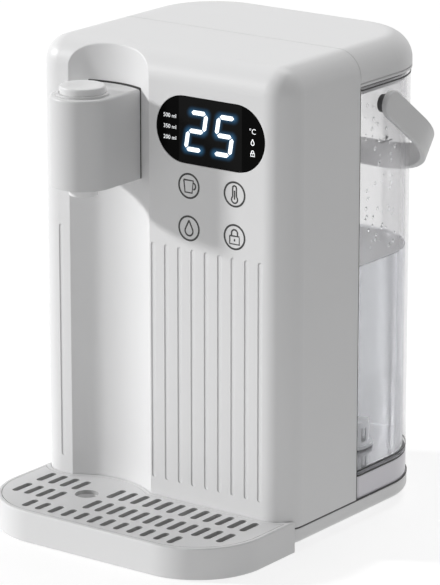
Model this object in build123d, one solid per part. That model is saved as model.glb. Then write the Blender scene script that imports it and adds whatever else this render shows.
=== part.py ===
from build123d import *
from math import cos, radians, sin
import os

# Hot water dispenser with a cup niche, a drip tray and a lift-off tank, in millimetres.
# X runs across, Y runs from the front to the back, Z is up from the table.
# While modelling, Y is 0 on the flat front panel; export_all() moves the whole part to its origin.

# Housing
BODY_W = 188.0
BODY_D = 165.0
BODY_H = 296.0
FRONT_CORNER_R = 17.0
REAR_CORNER_R = 50.0
TOP_EDGE_R = 16.4
SHELL_WALL = 2.6
SHELL_D = 74.4
REAR_WALL_T = 2.6
SEAM_GAP = 0.5
FIT = 0.2
HOLE_FIT = 0.1
PAST = 1.0

# Cup niche, a shallow vertical channel of round section
NICHE_X = -37.6
NICHE_HALF_W = 30.5
NICHE_DEPTH = 10.5
NICHE_R = (NICHE_HALF_W**2 + NICHE_DEPTH**2) / (2 * NICHE_DEPTH)
NICHE_Y = NICHE_DEPTH - NICHE_R
NICHE_EDGE_R = 0.8

# Grooves in the front panel
GROOVE_W = 3.0
GROOVE_DEPTH = 0.4
GROOVE_PITCH = 9.88
GROOVE_NICHE_GAP = 2.7
GROOVE_LOW_Z = 31.6
GROOVE_TOP_DROP = 116.0
SIDE_GROOVE_GAP = 7.0

# Display window and touch keys
DISPLAY_SIDE_MARGIN = 16.05
DISPLAY_NICHE_MARGIN = 5.75
DISPLAY_DROP = 43.2
DISPLAY_H = 40.8
DISPLAY_FLANGE = 1.2
DISPLAY_FLANGE_T = 1.2
DISPLAY_EDGE_R = 0.3
DIGITS_SIDE_MARGIN = 14.65
DIGITS_H = 30.0
KEY_PITCH = 33.5
KEY_SHIFT = 1.05
KEY_DROP = 33.9
KEY_ROW_PITCH = 26.0
TOUCH_PAD_R = 6.0
BOARD_T = 1.6
DISPLAY_BOARD_GAP = 6.4
DISPLAY_BOARD_SIDE = 3.35
DISPLAY_BOARD_ABOVE = 23.2
DISPLAY_BOARD_BELOW = 10.9
POST_R = 3.0
POST_INSET = 4.0

# Base
BASE_SEAM_Z = 15.4
BASE_BOTTOM_Z = 5.5
BASE_EDGE_R = 3.0
BASE_FLOOR_T = 2.5
TONGUE_T = 1.6
TONGUE_H = 4.0
DECK_T = 2.4
DECK_LEDGE = 1.8
DECK_RIM = 1.6
DIVIDER_T = 2.6
FOOT_R = 7.0
FOOT_SINK = 1.2
FOOT_SIDE = 22.0
FOOT_FRONT_Y = 24.0
FOOT_REAR_GAP = 28.0
BOSS_R = 4.0
BOSS_TOP_Z = 48.0
BOSS_FRONT_Y = 28.0
BOSS_REAR_GAP = 16.4
BOSS_RIB_T = 2.0
SCREW_R = 1.5
SCREW_HEAD_R = 3.0
SCREW_HEAD_T = 2.0
SCREW_BITE = 14.0

# Bush for a cord in the housing's left wall
GLAND_Z = 34.0
GLAND_R = 5.2
GLAND_BORE_R = 3.6
GLAND_FLANGE_R = 7.2
GLAND_FLANGE_T = 1.6
GLAND_EDGE_R = 0.8

# Tank
TANK_INSET = 0.8
TANK_GAP = 1.0
TANK_FRONT_R = 4.0
TANK_WALL = 2.4
TANK_FLOOR_T = 2.6
TANK_BOTTOM_Z = 31.0
LID_H = 21.4
LID_WALL = 2.4
LID_PARTING = 0.6
LID_PLUG_H = 6.0
LID_PLUG_FIT = 0.4
LID_PLUG_T = 2.0
LID_FLANGE_T = 2.0
LID_GROOVE_RISE = 1.4
LID_GROOVE_W = 0.8
LID_GROOVE_DEPTH = 0.8
LID_GASKET_T = 0.8
LID_GASKET_INSET = 0.4
TANK_GASKET_T = 1.2
TANK_GASKET_INSET = 0.3
TANK_GASKET_W = 6.9
SKIRT_WALL = 2.4
SKIRT_TOP_T = 2.0
SKIRT_REBATE = 1.0
SKIRT_GAP = 0.7

# Outlet valve in the tank's foot and the socket under it
VALVE_X = 45.0
VALVE_AHEAD = 3.8
VALVE_NECK_R = 6.9
VALVE_BORE_R = 5.0
VALVE_FLANGE_R = 13.0
VALVE_FLANGE_T = 1.8
VALVE_SEAL_T = 0.8
VALVE_TOWER_R = 9.5
VALVE_TOWER_WALL = 1.8
VALVE_TOP_Z = 51.0
VALVE_CAP_T = 2.0
VALVE_WINDOW_W = 5.0
POPPET_R = 6.6
POPPET_T = 2.0
POPPET_LIFT_OFF = 0.2
STEM_R = 1.6
STEM_FIT = 0.1
DOCK_R = 11.0
DOCK_TOP_Z = 25.6
DOCK_FLOOR_T = 2.2
DOCK_FIT = 0.3
DOCK_PIN_R = 1.4
DOCK_PIN_GAP = 0.3
PIPE_R = 3.5
PIPE_BORE_R = 2.2
PIPE_Z = 20.6
PIPE_TAIL = 5.8

# Carrying handle
PIVOT_SETBACK = 23.5
PIVOT_DROP = 14.1
PIVOT_BOSS_R = 5.5
PIVOT_BOSS_T = 4.8
PIVOT_PIN_R = 3.0
PIVOT_PIN_L = 2.6
PIVOT_FIT = 0.06
HANDLE_SIDE_GAP = 0.3
HANDLE_T = 4.0
HANDLE_W = 17.0
HANDLE_REST_GAP = 1.05
HANDLE_BEND_R = 58.0
HANDLE_EDGE_R = 0.9
HANDLE_REST_ANGLE = 36.0

# Drip tray and grille
TRAY_REACH = 71.5
TRAY_LOBE_GAP = 0.8
TRAY_CORNER_R = 46.0
TRAY_BOTTOM_Z = 0.6
TRAY_TOP_Z = 20.5
TRAY_BODY_GAP = 0.5
TRAY_RIM = 2.6
TRAY_LEDGE = 1.6
TRAY_FLOOR_T = 2.0
TRAY_EDGE_R = 1.0
GRILLE_T = 2.4
GRILLE_GAP = 0.35
SLOT_W = 4.6
SLOT_L = 17.0
SLOT_PITCH = 9.13
SLOT_SIDE = 16.0
REAR_SLOT_Y = -14.1
MIDDLE_SLOT_Y = -37.6
FRONT_SLOT_L = 13.4
FRONT_SLOT_PITCH = 10.0
FRONT_SLOT_SIDE = 39.0
FRONT_SLOT_Y = -57.8
DRAIN_R = 7.3

# Spout head on the niche wall
HEAD_HALF_W = 19.6
HEAD_NOSE_Y = -24.5
HEAD_DROP = 25.0
HEAD_H = 55.0
HEAD_WALL = 2.2
HEAD_EDGE_R = 1.5
HEAD_WALL_GAP = 0.7
HEAD_FLOOR_T = 2.2
COLLAR_R = 16.0
COLLAR_H = 1.2
SPIGOT_HALF_W = 9.0
SPIGOT_RISE = 12.0
SPIGOT_H = 22.0
SPIGOT_WALL = 2.0
SPIGOT_TAIL = 6.9
CLAMP_T = 2.0
CLAMP_GAP = 0.2
CLAMP_BORDER = 6.0
CLAMP_GROOVE = 1.0
BUTTON_R = 13.8
BUTTON_FIT = 0.3
BUTTON_PROUD = 4.4
BUTTON_SKIRT = 5.0
BUTTON_FLANGE = 1.6
BUTTON_FLANGE_T = 1.4
BUTTON_WALL = 2.2
BUTTON_DISH_R = 60.0
BUTTON_DISH = 0.8
BUTTON_EDGE_R = 1.0
BUTTON_TRAVEL = 3.0
BRACKET_T = 2.0
BRACKET_DROP = 20.0
BRACKET_REAR_Y = -8.1
SWITCH_SIZE = 7.0
SWITCH_H = 6.5
PLUNGER_R = 1.6
PLUNGER_GAP = 0.3
NOZZLE_R = 8.75
NOZZLE_DROP = 3.0
NOZZLE_BORE_R = 3.4
NOZZLE_NECK_R = 5.5
NOZZLE_COLLAR_T = 1.4

# Springs
SPRING_WIRE_R = 0.5
BUTTON_SPRING_R = 6.6
BUTTON_SPRING_TURNS = 5
VALVE_SPRING_R = 4.6
VALVE_SPRING_TURNS = 5
SPRING_END_GAP = 0.1

# Water path and electrics inside the housing
HOSE_R = 4.2
HOSE_BORE_R = 2.6
BARB_FIT = 0.05
BARB_BORE_R = 1.6
BARB_L = 9.0
PUMP_R = 11.0
PUMP_HEAD_L = 22.0
PUMP_MOTOR_R = 10.5
PUMP_MOTOR_L = 34.0
PUMP_SHAFT_BOSS_R = 5.0
PUMP_SHAFT_BOSS_L = 3.0
PUMP_SETBACK = 27.8
PUMP_EDGE_R = 1.5
CRADLE_GAP = 0.2
CRADLE_L = 20.0
CRADLE_HALF_W = 12.0
HEATER_R = 15.0
HEATER_WALL = 1.2
HEATER_LOW_Z = 86.0
HEATER_DROP = 49.0
HEATER_CAP_R = 17.0
HEATER_CAP_T = 8.0
HEATER_CAP_LIP = 5.0
BRACKET_PLATE_T = 2.5
BRACKET_STRAP_T = 2.0
BRACKET_STRAP_H = 10.0
BRACKET_END_GAP = 4.0
BRACKET_FOOT_W = 46.0
CUTOUT_R = 6.0
CUTOUT_T = 5.0
TRANSFER_DROP = 24.0
TRANSFER_BEND = 9.0
OUTLET_BEND = 14.0
NOZZLE_BEND = 7.0
POWER_BOARD_SIDE = 16.0
POWER_BOARD_W = 66.0
POWER_BOARD_LOW_Z = 76.0
POWER_BOARD_H = 90.0
POWER_POST_L = 8.0
COMPONENT_INSET = 10.0
TRANSFORMER_W = 24.0
TRANSFORMER_D = 22.0
TRANSFORMER_H = 22.0
RELAY_W = 16.0
RELAY_D = 16.0
RELAY_H = 28.0
TERMINAL_W = 28.0
TERMINAL_D = 6.0
TERMINAL_H = 6.0
CAPACITOR_R = 6.0
CAPACITOR_L = 18.0

# Heights, places and faces worked out from the sizes above
BASE_TOP_Z = BASE_SEAM_Z - SEAM_GAP
FLOOR_Z = BASE_BOTTOM_Z + BASE_FLOOR_T
TANK_FRONT_Y = SHELL_D + TANK_GAP
TANK_REAR_Y = BODY_D - TANK_INSET
TANK_HALF_W = BODY_W / 2 - TANK_INSET
TANK_FLOOR_Z = TANK_BOTTOM_Z + TANK_FLOOR_T
LID_Z = BODY_H - LID_H
TANK_RIM_Z = LID_Z - LID_GASKET_T
SKIRT_TOP_Z = TANK_BOTTOM_Z - TANK_GASKET_T
REAR_WALL_Y = SHELL_D - REAR_WALL_T
NICHE_BACK_Y = NICHE_DEPTH + SHELL_WALL
GROOVE_X0 = NICHE_X + NICHE_HALF_W + GROOVE_NICHE_GAP
GROOVE_COUNT = int((BODY_W / 2 - FRONT_CORNER_R - GROOVE_X0) / GROOVE_PITCH) + 1
GROOVE_HIGH_Z = BODY_H - GROOVE_TOP_DROP
SIDE_GROOVE_X = NICHE_X - NICHE_HALF_W - SIDE_GROOVE_GAP
DISPLAY_LEFT_X = NICHE_X + NICHE_HALF_W + DISPLAY_NICHE_MARGIN
DISPLAY_RIGHT_X = BODY_W / 2 - DISPLAY_SIDE_MARGIN
DISPLAY_W = DISPLAY_RIGHT_X - DISPLAY_LEFT_X
DISPLAY_X = (DISPLAY_LEFT_X + DISPLAY_RIGHT_X) / 2
DISPLAY_Z = BODY_H - DISPLAY_DROP
DIGITS_W = DISPLAY_W - 2 * DIGITS_SIDE_MARGIN
KEY_X = [DISPLAY_X + KEY_SHIFT + side * KEY_PITCH / 2 for side in (-1, 1)]
KEY_Z = [DISPLAY_Z - KEY_DROP - row * KEY_ROW_PITCH for row in (0, 1)]
DISPLAY_BOARD_W = DISPLAY_W + 2 * DISPLAY_BOARD_SIDE
DISPLAY_BOARD_LOW_Z = KEY_Z[1] - DISPLAY_BOARD_BELOW
DISPLAY_BOARD_HIGH_Z = DISPLAY_Z + DISPLAY_BOARD_ABOVE
DISPLAY_BOARD_Y = SHELL_WALL + DISPLAY_BOARD_GAP
POWER_BOARD_Y = REAR_WALL_Y - POWER_POST_L - BOARD_T
BOSS_X = BODY_W / 2 - SHELL_WALL - FIT - TONGUE_T - FIT - BOSS_R
BOSS_Y = (BOSS_FRONT_Y, SHELL_D - BOSS_REAR_GAP)
FOOT_X = BODY_W / 2 - FOOT_SIDE
FOOT_REAR_Y = BODY_D - FOOT_REAR_GAP
GLAND_Y = (BOSS_Y[0] + BOSS_Y[1]) / 2
VALVE_Y = (TANK_FRONT_Y + TANK_REAR_Y) / 2 - VALVE_AHEAD
PIPE_END_Y = REAR_WALL_Y - PIPE_TAIL
BARB_R = HOSE_BORE_R - BARB_FIT
PIVOT_Y = TANK_FRONT_Y + PIVOT_SETBACK
PIVOT_Z = LID_Z - PIVOT_DROP
HANDLE_TILT = radians(HANDLE_REST_ANGLE)
HANDLE_REST_Y = TANK_REAR_Y + HANDLE_REST_GAP - PIVOT_Y
HANDLE_REACH = (HANDLE_REST_Y + HANDLE_W / 2 * sin(HANDLE_TILT)) / cos(HANDLE_TILT) + HANDLE_T
HANDLE_IN_X = TANK_HALF_W + PIVOT_BOSS_T + HANDLE_SIDE_GAP
HANDLE_OUT_X = HANDLE_IN_X + HANDLE_T
TRAY_REAR_Y = NICHE_DEPTH - TRAY_LOBE_GAP
GRILLE_Z = TRAY_TOP_Z - GRILLE_T
SLOT_COLUMNS = int((BODY_W - 2 * SLOT_SIDE) / SLOT_PITCH) + 1
FRONT_SLOT_COUNT = int((BODY_W - 2 * FRONT_SLOT_SIDE) / FRONT_SLOT_PITCH) + 1
HEAD_HIGH_Z = BODY_H - HEAD_DROP
HEAD_LOW_Z = HEAD_HIGH_Z - HEAD_H
SPIGOT_LOW_Z = HEAD_LOW_Z + SPIGOT_RISE
SPIGOT_HIGH_Z = SPIGOT_LOW_Z + SPIGOT_H
SPIGOT_END_Y = NICHE_BACK_Y + SPIGOT_TAIL
BRACKET_Z = HEAD_HIGH_Z - BRACKET_DROP
PUMP_X = VALVE_X
PUMP_Y = REAR_WALL_Y - PUMP_SETBACK
OUTLET_RISE_Z = (SPIGOT_LOW_Z + SPIGOT_HIGH_Z) / 2
HEATER_Y = (NICHE_BACK_Y + REAR_WALL_Y) / 2
HEATER_HIGH_Z = OUTLET_RISE_Z - HEATER_DROP
CUTOUT_Z = (HEATER_LOW_Z + HEATER_HIGH_Z) / 2
TRANSFER_RISE_Z = HEATER_LOW_Z - TRANSFER_DROP
POWER_BOARD_X = (BODY_W / 2 - POWER_BOARD_SIDE - POWER_BOARD_W, BODY_W / 2 - POWER_BOARD_SIDE)
POWER_BOARD_Z = (POWER_BOARD_LOW_Z, POWER_BOARD_LOW_Z + POWER_BOARD_H)
FAR = 400.0


def box(x, y, z):
    """A block from its (low, high) pairs along X, Y and Z."""
    centre = [(pair[0] + pair[1]) / 2 for pair in (x, y, z)]
    size = [pair[1] - pair[0] for pair in (x, y, z)]
    return Pos(*centre) * Box(*size)


def rod_z(radius, x, y, z):
    """An upright round bar between two heights."""
    return Pos(x, y, (z[0] + z[1]) / 2) * Cylinder(radius, z[1] - z[0])


def rod_y(radius, x, z, y):
    """A round bar that runs front to back."""
    return Pos(x, (y[0] + y[1]) / 2, z) * Rot(90, 0, 0) * Cylinder(radius, y[1] - y[0])


def rod_x(radius, y, z, x):
    """A round bar that runs across."""
    return Pos((x[0] + x[1]) / 2, y, z) * Rot(0, 90, 0) * Cylinder(radius, x[1] - x[0])


def prism(plan, z):
    """A flat plan raised between two heights."""
    return extrude(Pos(0, 0, z[0]) * plan, z[1] - z[0])


def front_slot(x, z, length, width, y, upright):
    """A round-ended slot on the front panel, cut between two depths."""
    along = (0, 0, 1) if upright else (1, 0, 0)
    plane = Plane(origin=(x, y[0], z), x_dir=along, z_dir=(0, 1, 0))
    return extrude(plane * SlotOverall(length, width), y[1] - y[0])


def behind(y):
    """Everything behind a depth."""
    return box((-FAR, FAR), (y, FAR), (-FAR, FAR))


def body_plan(inset):
    """The housing's outline, drawn in by an inset."""
    plan = Pos(0, BODY_D / 2) * Rectangle(BODY_W - 2 * inset, BODY_D - 2 * inset)
    plan = fillet(plan.vertices().group_by(Axis.Y)[0], FRONT_CORNER_R - inset)
    return fillet(plan.vertices().group_by(Axis.Y)[-1], REAR_CORNER_R - inset)


def body_form(inset, low_z):
    """The housing's outer form with its rounded top, drawn in by an inset."""
    form = prism(body_plan(inset), (low_z, BODY_H - inset))
    return fillet(form.faces().sort_by(Axis.Z)[-1].edges(), TOP_EDGE_R - inset)


def niche(inset, z):
    """The cup niche's channel, with a wall of the given inset round it."""
    return rod_z(NICHE_R + inset, NICHE_X, NICHE_Y, z)


def room(inset, z):
    """The housing's footprint with the niche left out, drawn in by an inset."""
    return prism(body_plan(inset), z) - niche(inset, (z[0] - PAST, z[1] + PAST))


def tank_plan(inset):
    """The tank's outline, drawn in by an inset."""
    depth = TANK_REAR_Y - TANK_FRONT_Y
    middle = (TANK_REAR_Y + TANK_FRONT_Y) / 2
    plan = Pos(0, middle) * Rectangle(2 * (TANK_HALF_W - inset), depth - 2 * inset)
    plan = fillet(plan.vertices().group_by(Axis.Y)[0], TANK_FRONT_R - inset / 2)
    return fillet(plan.vertices().group_by(Axis.Y)[-1], REAR_CORNER_R - TANK_INSET - inset)


def ring(plan, outer, inner, z):
    """A wall between two insets of a plan."""
    return prism(plan(outer), z) - prism(plan(inner), (z[0] - PAST, z[1] + PAST))


def tube(points, bends, radius, bore):
    """A hose along straight runs joined by arcs."""
    path = FilletPolyline(*points, radius=bends)
    start = Plane(origin=path @ 0, z_dir=path % 0)
    return sweep(start * (Circle(radius) - Circle(bore)), path=path)


def spring(x, y, z, radius, turns):
    """A coil spring between two heights."""
    low = z[0] + SPRING_WIRE_R + SPRING_END_GAP
    high = z[1] - SPRING_WIRE_R - SPRING_END_GAP
    path = Pos(x, y, low) * Helix((high - low) / turns, high - low, radius)
    return sweep(Plane(origin=path @ 0, z_dir=path % 0) * Circle(SPRING_WIRE_R), path=path)


def display_post_places():
    """Where the display board is screwed down."""
    reach = DISPLAY_BOARD_W / 2 - POST_INSET
    heights = (DISPLAY_BOARD_LOW_Z + POST_INSET, DISPLAY_BOARD_HIGH_Z - POST_INSET)
    return [(DISPLAY_X + side * reach, z) for side in (-1, 1) for z in heights]


def power_post_places():
    """Where the power board is screwed down."""
    across = (POWER_BOARD_X[0] + POST_INSET, POWER_BOARD_X[1] - POST_INSET)
    heights = (POWER_BOARD_Z[0] + POST_INSET, POWER_BOARD_Z[1] - POST_INSET)
    return [(x, z) for x in across for z in heights]


def boss_places():
    """Where the housing's four screw bosses stand on the base."""
    return [(side * BOSS_X, y) for side in (-1, 1) for y in BOSS_Y]


def niche_edges(form):
    """The edges where the niche runs out into the front panel."""
    wall = form.faces().filter_by(GeomType.CYLINDER).sort_by(lambda face: abs(face.center().X - NICHE_X))[0]
    return wall.edges().filter_by(lambda edge: edge.center().Z > BASE_SEAM_Z + PAST)


def make_front_shell():
    outer = body_form(0, BASE_SEAM_Z) - behind(SHELL_D) - niche(0, (0, FAR))
    outer = fillet(niche_edges(outer), NICHE_EDGE_R)
    hollow = body_form(SHELL_WALL, BASE_SEAM_Z - PAST) - niche(SHELL_WALL, (0, FAR))
    shell = outer - hollow
    middle_z = (GROOVE_LOW_Z + GROOVE_HIGH_Z) / 2
    length = GROOVE_HIGH_Z - GROOVE_LOW_Z
    groove_x = [GROOVE_X0 + i * GROOVE_PITCH for i in range(GROOVE_COUNT)] + [SIDE_GROOVE_X]
    for x in groove_x:
        shell -= front_slot(x, middle_z, length, GROOVE_W, (-PAST, GROOVE_DEPTH), True)
    opening = (DISPLAY_W + 2 * HOLE_FIT, DISPLAY_H + 2 * HOLE_FIT)
    shell -= front_slot(DISPLAY_X, DISPLAY_Z, *opening, (-PAST, SHELL_WALL + PAST), False)
    shell -= spigot_block(HOLE_FIT, (0, NICHE_BACK_Y + PAST))
    shell -= rod_x(GLAND_R + HOLE_FIT, GLAND_Y, GLAND_Z, (-FAR, 0))
    for x, z in display_post_places():
        shell += rod_y(POST_R, x, z, (SHELL_WALL / 2, DISPLAY_BOARD_Y))
        shell -= rod_y(SCREW_R, x, z, (SHELL_WALL, DISPLAY_BOARD_Y + PAST))
    for x, y in boss_places():
        wall_x = BODY_W / 2 - SHELL_WALL / 2
        rib_x = (min(x, wall_x if x > 0 else -wall_x), max(x, wall_x if x > 0 else -wall_x))
        rib_y = (y - BOSS_RIB_T / 2, y + BOSS_RIB_T / 2)
        shell += box(rib_x, rib_y, (BASE_TOP_Z + TONGUE_H + FIT, BOSS_TOP_Z))
        shell += rod_z(BOSS_R, x, y, (FLOOR_Z, BOSS_TOP_Z))
        shell -= rod_z(SCREW_R, x, y, (FLOOR_Z - PAST, FLOOR_Z + SCREW_BITE))
    return shell


def make_rear_wall():
    """The panel towards the tank, with a foot that stands on the base's floor."""
    low_z = BASE_TOP_Z + TONGUE_H + FIT
    slab = box((-FAR, FAR), (REAR_WALL_Y, SHELL_D), (low_z, FAR))
    wall = body_form(SHELL_WALL + FIT, BASE_SEAM_Z) & slab
    foot_x = BODY_W / 2 - SHELL_WALL - TONGUE_T - 4 * FIT
    wall += box((-foot_x, foot_x), (REAR_WALL_Y, SHELL_D), (FLOOR_Z, low_z))
    wall -= rod_y(PIPE_R + FIT, VALVE_X, PIPE_Z, (REAR_WALL_Y - PAST, SHELL_D + PAST))
    for x, z in power_post_places():
        wall += rod_y(POST_R, x, z, (REAR_WALL_Y - POWER_POST_L, REAR_WALL_Y + PAST))
        wall -= rod_y(SCREW_R, x, z, (REAR_WALL_Y - POWER_POST_L - PAST, REAR_WALL_Y))
    return wall


def make_base_pan():
    pan = room(0, (BASE_BOTTOM_Z, BASE_TOP_Z))
    pan = fillet(pan.faces().sort_by(Axis.Z)[0].edges(), BASE_EDGE_R)
    tongue = room(SHELL_WALL + FIT, (FLOOR_Z, BASE_TOP_Z + TONGUE_H)) - behind(REAR_WALL_Y - FIT)
    pan += tongue
    front_pocket = room(SHELL_WALL + FIT + TONGUE_T, (FLOOR_Z, BASE_TOP_Z + TONGUE_H + PAST))
    pan -= front_pocket - behind(SHELL_D + FIT)
    divider_y = SHELL_D + FIT + DIVIDER_T
    rear_pocket = prism(body_plan(DECK_RIM + DECK_LEDGE), (FLOOR_Z, BASE_TOP_Z + PAST))
    pan -= rear_pocket & behind(divider_y + DECK_LEDGE)
    pan -= prism(body_plan(DECK_RIM), (BASE_TOP_Z - DECK_T, BASE_TOP_Z + PAST)) & behind(divider_y)
    for x, y in boss_places():
        pan -= rod_z(SCREW_R + HOLE_FIT, x, y, (BASE_BOTTOM_Z - PAST, FLOOR_Z + PAST))
    for x, y in foot_places():
        pan -= rod_z(FOOT_R + HOLE_FIT, x, y, (BASE_BOTTOM_Z - PAST, BASE_BOTTOM_Z + FOOT_SINK))
    return pan


def make_tank_deck():
    """The plate on which the tank stands."""
    deck = prism(body_plan(DECK_RIM + FIT), (BASE_TOP_Z - DECK_T, BASE_TOP_Z))
    return deck & behind(SHELL_D + FIT + DIVIDER_T + FIT)


def foot_places():
    return [(side * FOOT_X, y) for side in (-1, 1) for y in (FOOT_FRONT_Y, FOOT_REAR_Y)]


def make_rubber_feet():
    feet = []
    for x, y in foot_places():
        foot = rod_z(FOOT_R, x, y, (0, BASE_BOTTOM_Z + FOOT_SINK))
        feet.append(chamfer(foot.faces().sort_by(Axis.Z)[0].edges(), FOOT_SINK))
    return feet


def make_base_screws():
    screws = []
    for x, y in boss_places():
        head = rod_z(SCREW_HEAD_R, x, y, (BASE_BOTTOM_Z - SCREW_HEAD_T, BASE_BOTTOM_Z))
        shank = rod_z(SCREW_R - BARB_FIT, x, y, (BASE_BOTTOM_Z - PAST, FLOOR_Z + SCREW_BITE - PAST))
        screws.append(head + shank)
    return screws


def make_cord_gland():
    """A flanged bush in the housing's left wall."""
    outside = -BODY_W / 2
    inside = outside + SHELL_WALL
    gland = rod_x(GLAND_FLANGE_R, GLAND_Y, GLAND_Z, (outside - GLAND_FLANGE_T, outside))
    gland = fillet(gland.faces().sort_by(Axis.X)[0].edges(), GLAND_EDGE_R)
    gland += rod_x(GLAND_R, GLAND_Y, GLAND_Z, (outside, inside))
    gland += rod_x(GLAND_FLANGE_R, GLAND_Y, GLAND_Z, (inside, inside + GLAND_FLANGE_T))
    return gland - rod_x(GLAND_BORE_R, GLAND_Y, GLAND_Z, (-FAR, 0))


def make_display_window():
    back = SHELL_WALL + FIT
    plug = front_slot(DISPLAY_X, DISPLAY_Z, DISPLAY_W, DISPLAY_H, (0, back), False)
    plug = fillet(plug.faces().sort_by(Axis.Y)[0].edges(), DISPLAY_EDGE_R)
    wide = (DISPLAY_W + 2 * DISPLAY_FLANGE, DISPLAY_H + 2 * DISPLAY_FLANGE)
    return plug + front_slot(DISPLAY_X, DISPLAY_Z, *wide, (back, back + DISPLAY_FLANGE_T), False)


def make_display_board():
    half = DISPLAY_BOARD_W / 2
    across = (DISPLAY_X - half, DISPLAY_X + half)
    depth = (DISPLAY_BOARD_Y, DISPLAY_BOARD_Y + BOARD_T)
    board = box(across, depth, (DISPLAY_BOARD_LOW_Z, DISPLAY_BOARD_HIGH_Z))
    front_y = SHELL_WALL + DISPLAY_FLANGE_T + 2 * FIT
    digits_x = (DISPLAY_X - DIGITS_W / 2, DISPLAY_X + DIGITS_W / 2)
    digits_z = (DISPLAY_Z - DIGITS_H / 2, DISPLAY_Z + DIGITS_H / 2)
    board += box(digits_x, (front_y, DISPLAY_BOARD_Y), digits_z)
    for x, z in display_post_places():
        board -= rod_y(SCREW_R + HOLE_FIT, x, z, (DISPLAY_BOARD_Y - PAST, DISPLAY_BOARD_Y + BOARD_T + PAST))
    return board


def make_display_screws():
    back = DISPLAY_BOARD_Y + BOARD_T
    screws = []
    for x, z in display_post_places():
        head = rod_y(SCREW_HEAD_R, x, z, (back, back + SCREW_HEAD_T))
        screws.append(head + rod_y(SCREW_R - BARB_FIT, x, z, (SHELL_WALL + FIT, back + PAST)))
    return screws


def make_touch_pads():
    """Conductive foam between the board and the panel behind each printed key."""
    depth = (SHELL_WALL, DISPLAY_BOARD_Y)
    return [rod_y(TOUCH_PAD_R, x, z, depth) for x in KEY_X for z in KEY_Z]


def make_power_board():
    """A board with a transformer, a relay, a terminal strip and a capacitor."""
    front = POWER_BOARD_Y
    board = box(POWER_BOARD_X, (front, front + BOARD_T), POWER_BOARD_Z)
    left, right = POWER_BOARD_X[0] + COMPONENT_INSET, POWER_BOARD_X[1] - COMPONENT_INSET
    low, high = POWER_BOARD_Z[0] + COMPONENT_INSET, POWER_BOARD_Z[1] - COMPONENT_INSET
    board += box((left, left + TRANSFORMER_W), (front - TRANSFORMER_D, front), (low, low + TRANSFORMER_H))
    board += box((right - RELAY_W, right), (front - RELAY_D, front), (low, low + RELAY_H))
    board += box((left, left + TERMINAL_W), (front - TERMINAL_D, front), (high - TERMINAL_H, high))
    board += rod_y(CAPACITOR_R, right - CAPACITOR_R, high - CAPACITOR_R, (front - CAPACITOR_L, front))
    for x, z in power_post_places():
        board -= rod_y(SCREW_R + HOLE_FIT, x, z, (front - PAST, front + BOARD_T + PAST))
    return board


def make_board_screws():
    front = POWER_BOARD_Y
    screws = []
    for x, z in power_post_places():
        head = rod_y(SCREW_HEAD_R, x, z, (front - SCREW_HEAD_T, front))
        screws.append(head + rod_y(SCREW_R - BARB_FIT, x, z, (front - PAST, REAR_WALL_Y - FIT)))
    return screws


def head_plan(inset):
    """The spout head's outline before its back is curved to the niche."""
    half = HEAD_HALF_W - inset
    nose = Pos(NICHE_X, HEAD_NOSE_Y) * Circle(half)
    neck = Rectangle(2 * half, NICHE_DEPTH - HEAD_NOSE_Y)
    return nose + Pos(NICHE_X, (HEAD_NOSE_Y + NICHE_DEPTH) / 2) * neck


def spigot_block(grow, y):
    """The square spigot that carries the head through the niche wall."""
    half = SPIGOT_HALF_W + grow
    return box((NICHE_X - half, NICHE_X + half), y, (SPIGOT_LOW_Z - grow, SPIGOT_HIGH_Z + grow))


def head_form(inset, z):
    """The head's form, with its back following the niche."""
    back = niche(-HEAD_WALL_GAP - inset, (z[0] - PAST, z[1] + PAST))
    return prism(head_plan(inset), z) & back


def make_spout_head():
    head = head_form(0, (HEAD_LOW_Z, HEAD_HIGH_Z))
    head = fillet(head.faces().sort_by(Axis.Z)[-1].edges(), HEAD_EDGE_R)
    head -= head_form(HEAD_WALL, (HEAD_LOW_Z - PAST, HEAD_HIGH_Z - HEAD_WALL))
    head += rod_z(COLLAR_R, NICHE_X, HEAD_NOSE_Y, (HEAD_HIGH_Z - HEAD_WALL, HEAD_HIGH_Z + COLLAR_H))
    head -= rod_z(BUTTON_R + BUTTON_FIT, NICHE_X, HEAD_NOSE_Y, (HEAD_HIGH_Z - HEAD_WALL - PAST, FAR))
    inner_y = NICHE_DEPTH - HEAD_WALL_GAP - HEAD_WALL
    head += spigot_block(0, (inner_y, SPIGOT_END_Y))
    head -= spigot_block(-SPIGOT_WALL, (0, SPIGOT_END_Y + PAST))
    head -= clamp_slab(0) - spigot_block(-CLAMP_GROOVE, (0, FAR))
    return head


def clamp_slab(grow):
    """The space just behind the niche wall where the clamp sits."""
    low = NICHE_BACK_Y + CLAMP_GAP
    return box((-FAR, FAR), (low - grow, low + CLAMP_T + grow), (-FAR, FAR))


def make_spout_clamp():
    """A fork pushed over the spigot from above, which holds the head in the wall."""
    half = SPIGOT_HALF_W + CLAMP_BORDER
    tall = (SPIGOT_LOW_Z - CLAMP_BORDER, SPIGOT_HIGH_Z + CLAMP_BORDER)
    plate = box((NICHE_X - half, NICHE_X + half), (0, FAR), tall) & clamp_slab(-HOLE_FIT)
    inner = SPIGOT_HALF_W - CLAMP_GROOVE + HOLE_FIT
    slot_top = SPIGOT_HIGH_Z - CLAMP_GROOVE + HOLE_FIT
    return plate - box((NICHE_X - inner, NICHE_X + inner), (0, FAR), (-FAR, slot_top))


def make_spout_floor():
    floor = head_form(HEAD_WALL + HOLE_FIT, (HEAD_LOW_Z, HEAD_LOW_Z + HEAD_FLOOR_T))
    return floor - rod_z(NOZZLE_NECK_R + HOLE_FIT, NICHE_X, HEAD_NOSE_Y, (0, FAR))


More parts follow.
